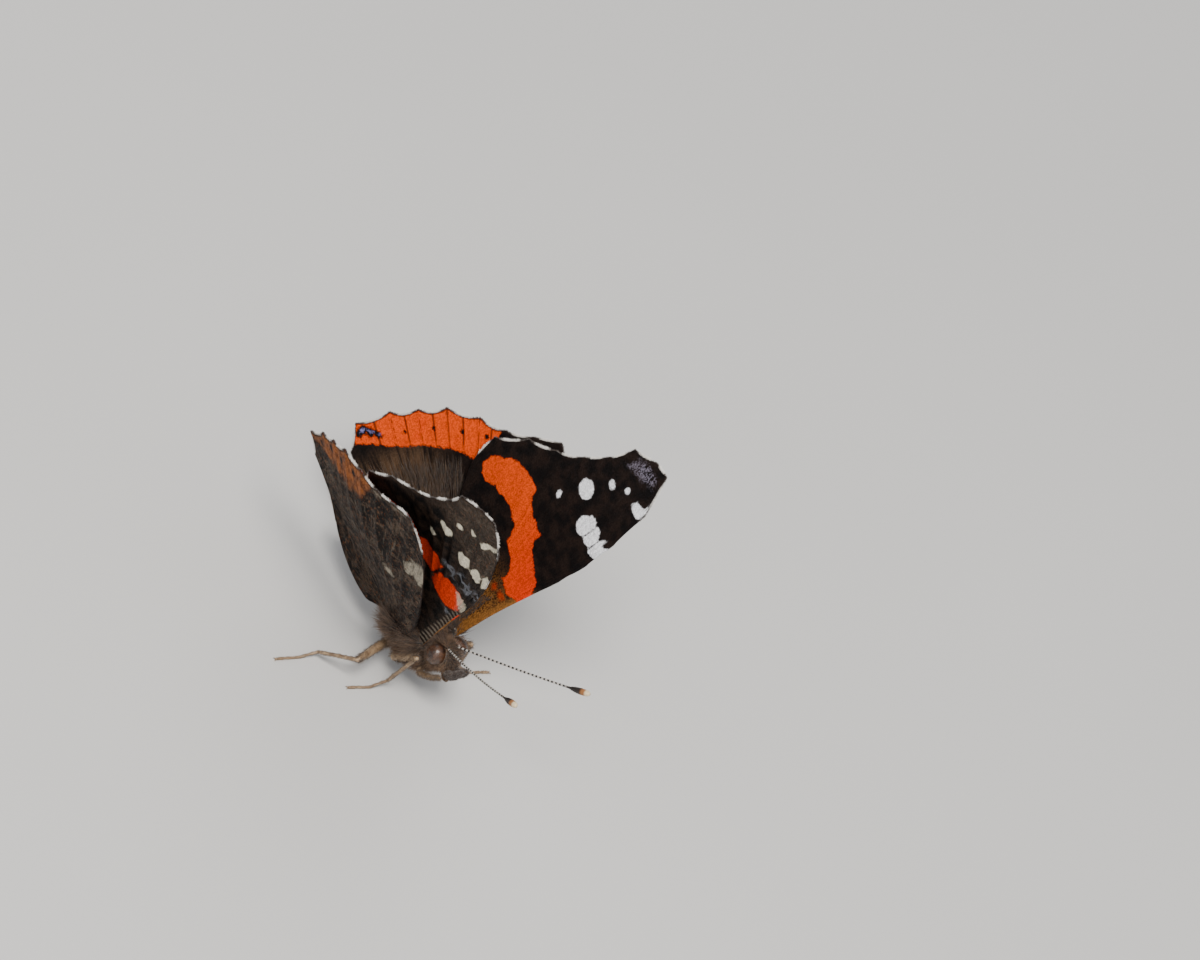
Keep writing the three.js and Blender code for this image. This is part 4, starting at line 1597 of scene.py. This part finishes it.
@dataclass
class BodySkin:
    """Head, thorax and abdomen as one skin of flesh, and the coat of hairs on it."""

    stance: Stance
    thorax: tuple[Place, Place] = ((-1.2, 0.0, -1.5), (2.15, 3.15, 2.4))
    head: tuple[Place, Place] = ((2.35, 0.0, 0.1), (1.4, 1.3, 1.45))
    abdomen_front: float = -3.6
    abdomen_end: float = -15.2
    abdomen_up: tuple[float, float] = (-1.6, -0.35)
    abdomen_radius: float = 1.55
    voxel: float = 0.13
    hairs: int = 12500
    waist: float = -4.2
    neck: float = 1.4
    collar: tuple[Place, Place] = ((1.4, 0.0, -0.5), (1.15, 1.0, 1.25))
    wing_root: Place = (0.55, 1.0, 0.85)
    wing_root_out: float = 0.35
    eye_middle: Place = (2.15, 1.3, 0.5)
    eye_clear: float = 1.1
    eye_rim: float = 1.3
    smoothings: int = 3
    segments: int = 8

    def _abdomen(self, build: BMesh) -> None:
        """Shapes a rounded form into the tapering abdomen with its rings.

        Args:
            build: The bmesh that it goes into.
        """
        for vert in ball(build, Vector(), (1.0, 1.0, 1.0), 36):
            share = 1 - min(max((1 - vert.co.y) / 2, 0.0), 1.0)
            taper = math.sqrt(max(1 - ((share - 0.3) / 0.74) ** 2, 0.0))
            ring = 1 - 0.05 * max(math.cos(2 * math.pi * share * self.segments), 0.0) ** 2
            flat = math.hypot(vert.co.x, vert.co.z)
            turn = math.atan2(vert.co.z, vert.co.x)
            radius = self.abdomen_radius * taper * ring * min(flat * 6, 1.0)
            ahead = self.abdomen_front + (self.abdomen_end - self.abdomen_front) * share
            low, high = self.abdomen_up
            up = low + (high - low) * share ** 1.5
            vert.co = self.stance.point(ahead, radius * math.cos(turn), up + radius * 1.05 * math.sin(turn))

    def skin(self) -> Mesh:
        """Melts the forms into one skin.

        Returns:
            The mesh.
        """
        build = bmesh.new()
        for (centre, size), rings in ((self.thorax, 24), (self.head, 24), (self.collar, 12)):
            ball(build, self.stance.point(*centre), in_metres(size), rings)
        for wing_set in WING_SETS.values():
            place = wing_set.place(np.zeros(1), np.full(1, self.wing_root_out), np.zeros(1))
            ball(build, Vector(self.stance.rows(place)[0]), in_metres(self.wing_root), 12)
        self._abdomen(build)
        soft = self._melted(mesh_from(build, "body_form"))
        for _ in range(self.smoothings):
            bmesh.ops.smooth_vert(soft, verts=soft.verts, factor=0.5, use_axis_x=True, use_axis_y=True,
                                  use_axis_z=True)
        return mesh_from(soft, "body_skin")

    def _melted(self, forms: Mesh) -> BMesh:
        """Makes one closed surface of forms that run into each other.

        Args:
            forms: The mesh of the forms.

        Returns:
            The surface.
        """
        rough = bpy.data.objects.new("body_form", forms)
        bpy.context.scene.collection.objects.link(rough)
        melt = rough.modifiers.new("melt", "REMESH")
        melt.mode = "VOXEL"
        melt.voxel_size = self.voxel * MM
        ready = rough.evaluated_get(bpy.context.evaluated_depsgraph_get())
        soft = bmesh.new()
        soft.from_mesh(ready.to_mesh())
        ready.to_mesh_clear()
        bpy.data.objects.remove(rough)
        return soft

    def local(self, points: Array) -> Array:
        """Rows of (ahead, side, up) in millimetres from points of the frame."""
        moved = (points - np.array(self.stance.shift)) / MM
        return np.column_stack([-moved[:, 1], moved[:, 0], moved[:, 2]])

    def unwrapped(self, points: Array) -> Array:
        """The place of each point on the skin rolled out round the body's own axis.

        Args:
            points: Points of the frame.

        Returns:
            Rows of the map OFBake.
        """
        ahead, side, up = self.local(points).T
        turn = np.arctan2(side, up + 1.2) / (2 * np.pi) + 0.5
        return np.column_stack([0.03 + 0.94 * turn, 0.03 + 0.94 * (4.5 - ahead) / 20.5])

    def _eye_gap(self, points: Array) -> Array:
        """How far points of the frame are from the middle of the nearer eye.

        Args:
            points: Points of the frame.

        Returns:
            The distances, in millimetres.
        """
        ahead, side, up = self.local(points).T
        eye_ahead, eye_side, eye_up = self.eye_middle
        return np.hypot(np.hypot(ahead - eye_ahead, np.abs(side) - eye_side), up - eye_up)

    def coat(self, mesh: Mesh) -> Strands:
        """The hairs: long on the thorax, tufted on the head and short on the abdomen.

        Args:
            mesh: The skin.

        Returns:
            The hairs.
        """
        draw = np.random.default_rng(11)
        found = Surface.scatter(mesh, self.hairs * 2, 5)
        on_abdomen = self.local(found.points)[:, 0] < self.waist
        chance = draw.random(len(on_abdomen)) < np.where(on_abdomen, 0.62, 1.0)
        found = found.kept((self._eye_gap(found.points) >= self.eye_clear) & chance)
        ahead, _, up = self.local(found.points).T
        count = len(ahead)
        on_abdomen, on_head = ahead < self.waist, ahead > self.neck
        above = np.clip((up + 1.4) / 1.6, 0, 1)
        lie = np.where(on_abdomen, 1.5, np.where(on_head, -0.3, 0.75))
        comb = np.column_stack([np.zeros(count), np.ones(count), np.zeros(count)])
        directions = unit(found.normals + comb * lie[:, None] + draw.normal(0, 0.3, (count, 3)))
        longer = np.where(on_abdomen, 0.55, np.where(on_head, 0.8, 1.1 + 0.7 * above))
        lengths = longer * draw.uniform(0.6, 1.15, count)
        on_face = on_head & (up < 0.6) & (ahead > 2.6)
        tones = np.where(on_abdomen, 0.3, 0.55) + 0.25 * (1 - above) + draw.normal(0, 0.2, count)
        tones = np.clip(tones, 0, 1)
        lengths = np.where(on_face, lengths * 0.7, lengths)
        by_eye = self._eye_gap(found.points) < self.eye_rim
        tones = np.where(by_eye, np.clip(tones + 0.4, 0, 1), tones)
        return Strands(
            roots=found.points - found.normals * 0.04 * MM, directions=directions, lengths=lengths * MM,
            widths=draw.uniform(0.028, 0.045, count) * MM, tones=tones,
            places=self.unwrapped(found.points),
            droop=np.column_stack([np.zeros(count), lengths * 0.25, -lengths * 0.12]) * MM)

    def make(self, shell: Material, hair: Material) -> None:
        """Adds the skin and its coat to the scene.

        Args:
            shell: The finish of the skin.
            hair: The finish of the hairs.
        """
        mesh = self.skin()
        strands = self.coat(mesh)
        add_piece("body_skin", mesh, [shell], "body_hair", ["head", "thorax", "abdomen"])
        rear = self.local(strands.roots)[:, 0] < self.waist
        for name, part in (("thorax_coat", ~rear), ("abdomen_coat", rear)):
            add_piece(name, strands.kept(part).mesh(name), [hair], "body_hair")


@dataclass
class WingHair:
    """The long hairs that lie over the inner part of a wing's upper face."""

    wing: Wing
    count: int
    reach: float
    length: float
    span: tuple[float, float]
    radius: float = 0.028

    def strands(self, seed: int) -> Strands:
        """Spreads the hairs, thinning them out with their distance from the hinge.

        Args:
            seed: The start of the random draws.

        Returns:
            The hairs.
        """
        draw = np.random.default_rng(seed)
        across = draw.uniform(*self.span, self.count)
        along = self.reach * draw.random(self.count) ** 0.75
        flat = self.wing.flat(across, along)
        inward = -self.wing.set.axes()[2]
        face = np.array([inward[1], -inward[0], inward[2]])
        root = self.wing.spots(across, along)
        ahead_of_root = self.wing.spots(across, along + 0.04)
        along_wing = unit(ahead_of_root - root)
        directions = unit(along_wing + face * 0.14 + draw.normal(0, 0.08, (self.count, 3)))
        lengths = self.length * draw.uniform(0.5, 1.1, self.count)
        toward_body = (across - self.span[0]) / (self.span[1] - self.span[0])
        tones = draw.normal(0.6, 0.22, self.count) + 0.4 * toward_body - 0.38
        return Strands(
            roots=root + face * 0.04 * MM, directions=directions, lengths=lengths * MM,
            widths=np.full(self.count, self.radius * MM), tones=np.clip(tones, 0, 1),
            places=flat / MAP_SPAN + 0.5, droop=-face * lengths[:, None] * 0.08 * MM)


@dataclass
class Eye(Pair):
    """One compound eye, flattened toward the head."""

    centre: Place = (2.15, 1.22, 0.5)
    size: Place = (1.0, 1.0, 1.08)
    hairs: int = 900
    hair_length: float = 0.22
    hair_radius: float = 0.012
    hair_tone: float = 0.8

    def make(self, finish: Material, hair: Material) -> None:
        """Adds the eye and its short hairs to the scene.

        Args:
            finish: The finish of the eye.
            hair: The finish of its hairs.
        """
        build = bmesh.new()
        middle = self.point(*self.centre)
        ball(build, middle, in_metres(self.size), 24)
        build.verts.index_update()
        build.faces.sort(key=face_order)
        mesh = mesh_from(build, self.named("eye_ball"))
        found = Surface.scatter(mesh, self.hairs, 21)
        outer = (found.points[:, 0] - middle.x) * self.side.value > 0.1 * MM
        found = found.kept(outer)
        count = len(found.points)
        add_piece(self.named("eye_ball"), mesh, [finish], "eyes", [self.named("eye")])
        local = (found.points - np.array(middle)) / MM
        strands = Strands(
            roots=found.points, directions=found.normals, lengths=np.full(count, self.hair_length * MM),
            widths=np.full(count, self.hair_radius * MM), tones=np.full(count, self.hair_tone),
            places=0.5 + local[:, 1:] * 0.35)
        name = self.named("eye_hair")
        add_piece(name, strands.mesh(name), [hair], "eyes")


@dataclass
class Feeler(Pair):
    """One feeler, a thin ringed shaft that ends in a club."""

    tip: Place
    base: Place = (2.5, 0.5, 1.5)
    radius: float = 0.1
    club_radius: float = 0.32
    club_share: float = 0.85
    root_radius: float = 0.2
    end_radius: float = 0.1
    sag: Place = (0.12, 0.0, -0.25)
    steps: int = 90

    def path(self) -> list[Vector]:
        """The middle line of the feeler.

        Returns:
            Its points, in metres of the frame.
        """
        start = self.point(*self.base)
        end = self.stance.point(*self.tip)
        aside, back, down = self.sag
        sag = Vector((self.side.value * aside, back, down)) * MM
        shares = [k / self.steps for k in range(self.steps + 1)]
        return [start.lerp(end, t) + sag * math.sin(math.pi * t) for t in shares]

    def make(self, finish: Material) -> None:
        """Adds the feeler to the scene.

        Args:
            finish: The finish of the feeler.
        """
        build = bmesh.new()
        radii = []
        for k in range(self.steps + 1):
            t = k / self.steps
            swell = max((t - self.club_share) / (1 - self.club_share), 0.0)
            club = math.sin(math.pi * min(swell * 0.86, 1.0)) ** 0.8 if swell > 0 else 0.0
            joint = 0.012 * math.cos(math.pi * k)
            radii.append((self.radius + joint + (self.club_radius - self.radius) * club) * MM)
        radii[0] = self.root_radius * MM
        radii[-1] = self.end_radius * MM
        Sweep(build, 14).draw(self.path(), radii)
        name = self.named("feeler")
        add_piece(name, mesh_from(build, name), [finish], "antennae", [self.named("antenna")])


def bristles(path: Sequence[Vector], radii: Sequence[float], count: int, length: float, seed: int,
             tones: tuple[float, float], lean: float = 1.2, width: float = 0.02) -> Strands:
    """Short hairs all along a limb.

    Args:
        path: The middle line of the limb.
        radii: Its radius at each point, in metres.
        count: How many hairs.
        length: How long they are, in millimetres.
        seed: The start of the random draws.
        tones: The middle and the spread of their tones.
        lean: How much they lie along the limb.
        width: Half their thickness at the root, in millimetres.

    Returns:
        The hairs.
    """
    draw = np.random.default_rng(seed)
    points = np.array([point[:] for point in path])
    place = draw.random(count) * (len(points) - 1)
    first = place.astype(int)
    share = (place - first)[:, None]
    middle = points[first] * (1 - share) + points[first + 1] * share
    radius = np.interp(place, np.arange(len(points)), radii)
    along = unit(points[first + 1] - points[first])
    around = draw.normal(0, 1, (count, 3))
    around = unit(around - along * (around * along).sum(axis=1, keepdims=True))
    turn = np.arctan2(around[:, 2], around[:, 0]) / (2 * np.pi) + 0.5
    return Strands(
        roots=middle + around * (radius * 0.85)[:, None],
        directions=unit(around + along * lean + draw.normal(0, 0.15, (count, 3))),
        lengths=length * draw.uniform(0.6, 1.1, count) * MM,
        widths=np.full(count, width * MM), tones=np.clip(draw.normal(tones[0], tones[1], count), 0, 1),
        places=np.column_stack([0.05 + 0.9 * turn, 0.05 + 0.9 * place / len(points)]))


def spread_radii(radii: Sequence[float], count: int) -> Array:
    """Radii spread evenly along a path.

    Args:
        radii: The radii at even steps of the path, in millimetres.
        count: How many points the path has.

    Returns:
        The radius at each point, in metres.
    """
    last = len(radii) - 1
    return np.interp(np.linspace(0, last, count), range(last + 1), radii) * MM


@dataclass
class HairyLimb(Pair):
    """A short limb that ends in a point, thick with hair from some way along it."""

    node: str
    slot: str
    shell_name: str
    hair_name: str
    points: Sequence[Place]
    radii: Sequence[float]
    sides: int
    steps: int
    bare_steps: int
    hairs: int
    hair_length: float
    hair_radius: float
    lean: float
    tones: tuple[float, float]
    seed: int

    def make(self, finish: Material, hair: Material) -> None:
        """Adds the limb and its hairs to the scene.

        Args:
            finish: The finish of its skin.
            hair: The finish of its hairs.
        """
        path = smooth_path([self.point(*place) for place in self.points], self.steps)
        radii = spread_radii(self.radii, self.steps)
        build = bmesh.new()
        Sweep(build, self.sides).draw(path, list(radii))
        name = self.shell_name.format(self.side.word)
        add_piece(name, mesh_from(build, name), [finish], self.slot, [self.named(self.node)])
        bare = self.bare_steps
        strands = bristles(path[bare:], radii[bare:], self.hairs, self.hair_length,
                           self.seed + self.side.value, self.tones, self.lean, self.hair_radius)
        name = self.hair_name.format(self.side.word)
        add_piece(name, strands.mesh(name), [hair], self.slot)


@dataclass
class Palp(HairyLimb):
    """One mouth feeler, a short hairy horn in front of the face."""

    node: str = "palp"
    slot: str = "palps"
    shell_name: str = "palp_shell_{}"
    hair_name: str = "palp_hair_{}"
    points: Sequence[Place] = ((3.3, 0.56, -0.75), (3.92, 0.56, -0.55), (4.4, 0.56, -0.25),
                               (4.8, 0.42, 0.3), (5.05, 0.3, 0.85))
    radii: Sequence[float] = (0.26, 0.34, 0.36, 0.27, 0.12)
    sides: int = 14
    steps: int = 24
    bare_steps: int = 3
    hairs: int = 1500
    hair_length: float = 0.4
    hair_radius: float = 0.03
    lean: float = 1.8
    tones: tuple[float, float] = (0.5, 0.25)
    seed: int = 31


@dataclass
class BrushFoot(HairyLimb):
    """One of the small folded forelegs."""

    node: str = "foreleg"
    slot: str = "legs"
    shell_name: str = "brush_foot_{}"
    hair_name: str = "brush_foot_{}_hair"
    points: Sequence[Place] = ((0.7, 0.6, -2.4), (1.5, 1.1, -3.15), (2.9, 1.2, -2.1), (3.7, 1.0, -1.3))
    radii: Sequence[float] = (0.36, 0.27, 0.2, 0.12)
    sides: int = 12
    steps: int = 26
    bare_steps: int = 6
    hairs: int = 1000
    hair_length: float = 0.4
    hair_radius: float = 0.02
    lean: float = 1.4
    tones: tuple[float, float] = (0.75, 0.2)
    seed: int = 51


@dataclass
class Tongue:
    """The tongue, rolled up like a watch spring."""

    stance: Stance
    centre: Flat = (3.4, -1.7)
    outer: float = 0.55
    inner: float = 0.2
    turns: float = 1.6
    radius: float = 0.15
    neck: tuple[Flat, Flat] = ((3.2, -0.9), (3.35, -1.2))
    neck_radii: Sequence[float] = (0.3,) * 5 + (0.24,) * 3
    steps: int = 90

    def make(self, finish: Material) -> None:
        """Adds the tongue to the scene.

        Args:
            finish: The finish of the tongue.
        """
        points = []
        radii = []
        for k in range(self.steps + 1):
            t = k / self.steps
            angle = math.pi / 2 - 2 * math.pi * self.turns * t
            reach = self.outer + (self.inner - self.outer) * t
            points.append(self.stance.point(self.centre[0] + reach * math.cos(angle), 0.0,
                                            self.centre[1] + reach * math.sin(angle)))
            radii.append(self.radius * (1 - 0.45 * t + 0.03 * math.cos(math.pi * k)) * MM)
        build = bmesh.new()
        Sweep(build, 12).draw(points, radii)
        neck = [self.stance.point(ahead, 0, up) for ahead, up in self.neck]
        path = smooth_path([*neck, points[0]], len(self.neck_radii))
        Sweep(build, 12).draw(path, in_metres(self.neck_radii))
        add_piece("tongue", mesh_from(build, "tongue"), [finish], "proboscis", ["proboscis"])


@dataclass
class Leg(Pair):
    """One walking leg: thigh, shin, jointed foot and claws, with its spines."""

    name: str
    coxa: Place
    hip: Place
    knee: Place
    ankle: Place
    claw: Flat
    hip_radii: Sequence[float] = (0.62,) * 5 + (0.55, 0.5, 0.42)
    thigh_radii: Sequence[Flat] = ((0, 0.36), (0.3, 0.42), (0.7, 0.34), (1, 0.22))
    shin_radii: Sequence[Flat] = ((0, 0.16), (0.15, 0.19), (0.8, 0.17), (1, 0.15))
    claw_radii: Sequence[float] = (0.06, 0.055, 0.05, 0.04, 0.032, 0.022, 0.01)
    joint_radii: Sequence[float] = (0.42, 0.22, 0.16)
    foot_radius: float = 0.125
    foot_joints: int = 5
    touch: float = 0.42
    steps: int = 20
    foot_steps: int = 41

    def stretches(self) -> list[tuple[list[Vector], list[float]]]:
        """The tubes of the leg as middle lines and radii.

        Returns:
            Hip, thigh, shin and foot.
        """
        places = (self.coxa, self.hip, self.knee, self.ankle)
        coxa, hip, knee, ankle = (self.point(*place) for place in places)
        floor = -STAND_HEIGHT + self.foot_radius * 1.08
        claw = self.point(*self.claw, floor)
        touch = ankle.lerp(claw, self.touch)
        touch.z = claw.z
        hip_path = smooth_path([coxa, coxa.lerp(hip, 0.5), hip], len(self.hip_radii))
        thigh = smooth_path([hip, hip.lerp(knee, 0.35), hip.lerp(knee, 0.75), knee], self.steps)
        shin = smooth_path([knee, knee.lerp(ankle, 0.5), ankle], self.steps)
        foot_points = [ankle, ankle.lerp(touch, 0.6), touch, touch.lerp(claw, 0.5), claw]
        foot = smooth_path(foot_points, self.foot_steps)
        wave = np.abs(np.sin(np.linspace(0, math.pi * self.foot_joints, self.foot_steps)))
        foot_radii = self.foot_radius * (0.78 + 0.3 * wave ** 0.5) * MM
        return [(hip_path, list(in_metres(self.hip_radii))), (thigh, self._along(self.thigh_radii)),
                (shin, self._along(self.shin_radii)), (foot, list(foot_radii))]

    def _along(self, radii: Sequence[Flat]) -> list[float]:
        """Radii along a limb, in metres, from pairs of a share of its length and a radius."""
        shares, sizes = zip(*radii)
        return list(np.interp(np.linspace(0, 1, self.steps), shares, sizes) * MM)

    def _claws(self, sweep: Sweep, foot: Sequence[Vector]) -> None:
        """Adds the two hooked claws at the end of the foot.

        Args:
            sweep: What draws their tubes.
            foot: The middle line of the foot.
        """
        ahead = (foot[-1] - foot[-4]).normalized()
        beside = ahead.cross(Vector((0, 0, 1))).normalized()
        for turn in (-1, 1):
            start = foot[-1] - ahead * 0.05 * MM
            bend = start + (ahead * 0.2 + beside * turn * 0.12) * MM + Vector((0, 0, 0.02 * MM))
            tip = start + (ahead * 0.3 + beside * turn * 0.18) * MM - Vector((0, 0, 0.07 * MM))
            sweep.draw(smooth_path([start, bend, tip], len(self.claw_radii)), in_metres(self.claw_radii))

    def _joints(self, build: BMesh) -> None:
        """Adds the rounded joints at hip, knee and ankle."""
        for place, size in zip((self.hip, self.knee, self.ankle), self.joint_radii):
            ball(build, self.point(*place), in_metres((size,) * 3), 8)

    def make(self, finish: Material, hair: Material) -> None:
        """Adds the leg and its spines to the scene.

        Args:
            finish: The finish of its skin.
            hair: The finish of its hairs.
        """
        build = bmesh.new()
        sweep = Sweep(build, 12)
        stretches = self.stretches()
        for path, radii in stretches:
            sweep.draw(path, radii)
        self._claws(sweep, stretches[-1][0])
        self._joints(build)
        for vert in build.verts:
            vert.co.z = max(vert.co.z, FLOOR_GAP)
        nodes = [f"{self.name}_{part}" for part in ("femur", "tibia", "tarsus")]
        add_piece(self.name + "_shell", mesh_from(build, self.name), [finish], "legs", nodes)
        for part, ((path, radii), (count, length, tone)) in enumerate(zip(stretches, LEG_HAIRS)):
            strands = bristles(path, radii, count, length, 40 + part, (tone, 0.2))
            name = f"{self.name}_hair_{part}"
            add_piece(name, strands.mesh(name), [hair], "legs")


@dataclass(frozen=True)
class Studio:
    """The pale floor, the soft light and the camera."""

    stance: Stance
    to_camera: Place = (-0.586, -0.405, 0.701)
    image_right: Place = (0.782, -0.51, 0.36)
    aim: Place = (-3.13, 15.22, 14.58)
    distance: float = 0.9
    lens: float = 290.2
    sensor: float = 36.0
    lamp_aim: Place = (0.0, 0.0, 0.015)
    sky: Colour = (0.88, 0.92, 1.0)
    sky_strength: float = 0.42

    def floor(self) -> None:
        """Adds the floor."""
        build = bmesh.new()
        bmesh.ops.create_grid(build, x_segments=2, y_segments=2, size=1.5)
        mesh = mesh_from(build, "floor")
        material, bench, shader = new_material("pale_floor", 0.85)
        cloud = bench.noise(bench.place_in_mm(), 0.02, 2.0)
        bench.link(bench.blend(cloud, (0.60, 0.59, 0.57), (0.64, 0.63, 0.61)), shader.inputs["Base Color"])
        mesh.materials.append(material)
        floor = bpy.data.objects.new("floor", mesh)
        bpy.context.scene.collection.objects.link(floor)
        floor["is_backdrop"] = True

    def light(self, name: str, place: Place, size: float, power: float, colour: Colour) -> None:
        """Adds one soft lamp that faces the insect.

        Args:
            name: Its name.
            place: Where it hangs, in metres of the frame.
            size: The side of its square.
            power: Its power in watts.
            colour: Its colour.
        """
        lamp = bpy.data.lights.new(name, "AREA")
        lamp.shape = "SQUARE"
        lamp.size = size
        lamp.energy = power
        lamp.color = colour
        holder = bpy.data.objects.new(name, lamp)
        holder.location = place
        facing = Vector(self.lamp_aim) - Vector(place)
        holder.rotation_euler = facing.to_track_quat("-Z", "Y").to_euler()
        bpy.context.scene.collection.objects.link(holder)

    def camera(self) -> None:
        """Adds the camera at the photograph's viewing angle."""
        back = Vector(self.to_camera).normalized()
        right = Vector(self.image_right)
        right = (right - back * right.dot(back)).normalized()
        up = back.cross(right)
        data = bpy.data.cameras.new("camera")
        data.sensor_width = self.sensor
        data.lens = self.lens
        data.clip_start = 0.01
        data.clip_end = 20.0
        camera = bpy.data.objects.new("camera", data)
        camera.rotation_euler = Matrix((right, up, back)).transposed().to_euler()
        camera.location = self.stance.point(*self.aim) + back * self.distance
        bpy.context.scene.collection.objects.link(camera)
        bpy.context.scene.camera = camera

    def make(self) -> None:
        """Adds everything."""
        self.camera()
        self.floor()
        for name, lamp in LAMPS.items():
            self.light(name, *lamp)
        world = bpy.data.worlds.new("soft_sky")
        world.use_nodes = True
        shade = world.node_tree.nodes["Background"]
        shade.inputs["Color"].default_value = (*self.sky, 1.0)
        shade.inputs["Strength"].default_value = self.sky_strength
        bpy.context.scene.world = world


# Each lamp's place, the side of its square, its power and its colour
LAMPS: dict[str, tuple[Place, float, float, Colour]] = {
    "key": ((-0.15, -0.14, 0.48), 0.22, 3.4, (1.0, 0.97, 0.93)),
    "fill": ((-0.35, -0.3, 0.22), 0.4, 0.5, (0.93, 0.96, 1.0)),
    "back": ((0.3, 0.35, 0.3), 0.35, 0.7, (1.0, 0.98, 0.95)),
}
# The hairs of hip, thigh, shin and foot: how many, how long and how pale
LEG_HAIRS = ((420, 0.6, 0.6), (650, 0.42, 0.45), (420, 0.22, 0.5), (380, 0.14, 0.7))
# Where the legs start under the body, where the thigh starts, and then knee, ankle and claw
COXAE: dict[str, Place] = {"midleg": (-1.6, 0.8, -2.9), "hindleg": (-2.6, 0.9, -2.7)}
HIPS: dict[str, Place] = {"midleg": (-1.0, 2.3, -3.5), "hindleg": (-2.9, 2.1, -3.65)}
LEGS: dict[str, tuple[Place, Place, Flat]] = {
    "midleg_right": ((1.85, 3.15, 0.15), (0.35, 3.35, -5.1), (-0.6, 6.9)),
    "midleg_left": ((1.7, 3.6, -0.4), (0.9, 4.6, -5.1), (1.9, 8.0)),
    "hindleg_right": ((-1.5, 6.5, -3.1), (-4.8, 8.1, -5.45), (-5.6, 12.2)),
    "hindleg_left": ((-4.2, 6.0, -2.6), (-7.6, 7.6, -5.45), (-9.6, 10.9)),
}
WING_SETS: dict[str, WingSet] = {
    "forewing_left": WingSet(Side.LEFT, (0, 1.9, 0), 17.1, 7.6),
    "forewing_right": WingSet(Side.RIGHT, (0, 1.9, 0), 16.9, 7.7),
    "hindwing_left": WingSet(Side.LEFT, (-2.6, 2.55, -0.9), 23.7, -8.35, 0.0, 0.6),
    "hindwing_right": WingSet(Side.RIGHT, (-2.6, 2.55, -0.9), 19.4, -3.0, -10.7, 1.4),
}
FEELER_TIPS: dict[Side, Place] = {Side.LEFT: (15.2, 4.8, 8.7), Side.RIGHT: (14.8, -4.0, 9.7)}


def make_wings(stance: Stance) -> None:
    """Builds the four wings with their fringes and the hairs on their inner parts.

    Args:
        stance: Where the insect stands.
    """
    effects, palette = Effects.build(), WingPalette()
    forewing_faces = {Face.UPPER: WingFinish("forewing_upper", effects, palette).forewing_upper(),
                      Face.UNDER: WingFinish("forewing_under", effects, palette).forewing_under()}
    hindwing_faces = {Face.UPPER: WingFinish("hindwing_upper", effects, palette).hindwing_upper(),
                      Face.UNDER: WingFinish("hindwing_under", effects, palette).hindwing_under()}
    fringe = HairFinish("fringe_hair", (0.035, 0.022, 0.016), (0.82, 0.78, 0.72), 1.1).build()
    bronze = HairFinish("bronze_hair", (0.018, 0.010, 0.006), (0.135, 0.078, 0.038), 1.25).build()
    for node, wing_set in WING_SETS.items():
        fore = node.startswith("fore")
        wing = Wing(node, stance, wing_set, FOREWING_LINES if fore else HINDWING_LINES,
                    FOREWING_MARKS if fore else HINDWING_MARKS, forewing_bend if fore else hindwing_bend,
                    "forewings" if fore else "hindwings")
        wing.make(forewing_faces if fore else hindwing_faces, fringe)
        coats = {"hair": WingHair(wing, 700, 0.2, 0.9, (0.45, 0.96))}
        if not fore:
            coats = {"hair": WingHair(wing, 3200, 0.42, 2.2, (0.15, 0.96)),
                     "long_hair": WingHair(wing, 3800, 0.72, 2.6, (0.5, 0.96))}
        for seed, (kind, coat) in enumerate(coats.items(), start=71):
            name = f"{node}_{kind}"
            add_piece(name, coat.strands(seed).mesh(name), [bronze], wing.slot)


def make_body(stance: Stance) -> None:
    """Builds the body, the eyes, the feelers, the mouth and the legs.

    Args:
        stance: Where the insect stands.
    """
    skin = ShellFinish("body_shell", (0.035, 0.022, 0.014), (0.13, 0.085, 0.05), 0.6)
    coat = HairFinish("body_hair", (0.016, 0.010, 0.007), (0.15, 0.087, 0.048), 1.5)
    grey = HairFinish("grey_hair", (0.030, 0.019, 0.014), (0.19, 0.155, 0.135), 1.3)
    tan = HairFinish("tan_hair", (0.055, 0.032, 0.019), (0.26, 0.185, 0.125), 1.2)
    shell = ShellFinish("leg_shell", (0.17, 0.10, 0.052), (0.42, 0.29, 0.17), 0.48, 9.0)
    tongue = ShellFinish("tongue_shell", (0.06, 0.03, 0.012), (0.16, 0.085, 0.035), 0.4, 12.0)
    grey_hair = grey.build()
    body_hair = coat.build()
    leg_shell = shell.build()
    tan_hair = tan.build()
    body_shell = skin.build()
    BodySkin(stance).make(body_shell, body_hair)
    eye = EyeFinish().build()
    for side in Side:
        Eye(side, stance).make(eye, body_hair)
        feeler = Feeler(side, stance, FEELER_TIPS[side])
        path = feeler.path()
        length = sum((b - a).length for a, b in zip(path, path[1:])) / MM
        feeler.make(FeelerFinish(length).build())
        Palp(side, stance).make(body_shell, grey_hair)
        BrushFoot(side, stance).make(leg_shell, tan_hair)
    Tongue(stance).make(tongue.build())
    for name, (knee, ankle, claw) in LEGS.items():
        kind, word = name.split("_")
        leg = Leg(Side[word.upper()], stance, name, COXAE[kind], HIPS[kind], knee, ankle, claw)
        leg.make(leg_shell, tan_hair)


def corners(box: Sequence[Vector]) -> list[list[float]]:
    """A box as plain lists of numbers."""
    return [list(corner) for corner in box]


def main() -> None:
    """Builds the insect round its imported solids."""
    logging.basicConfig(level=logging.INFO, format="%(name)s %(message)s")
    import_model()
    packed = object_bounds()
    stance = Stance.from_frame()
    Studio(stance).make()
    make_wings(stance)
    make_body(stance)
    {"packed": corners(packed), "dressed": corners(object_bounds())}


if __name__ == "__main__":
    main()
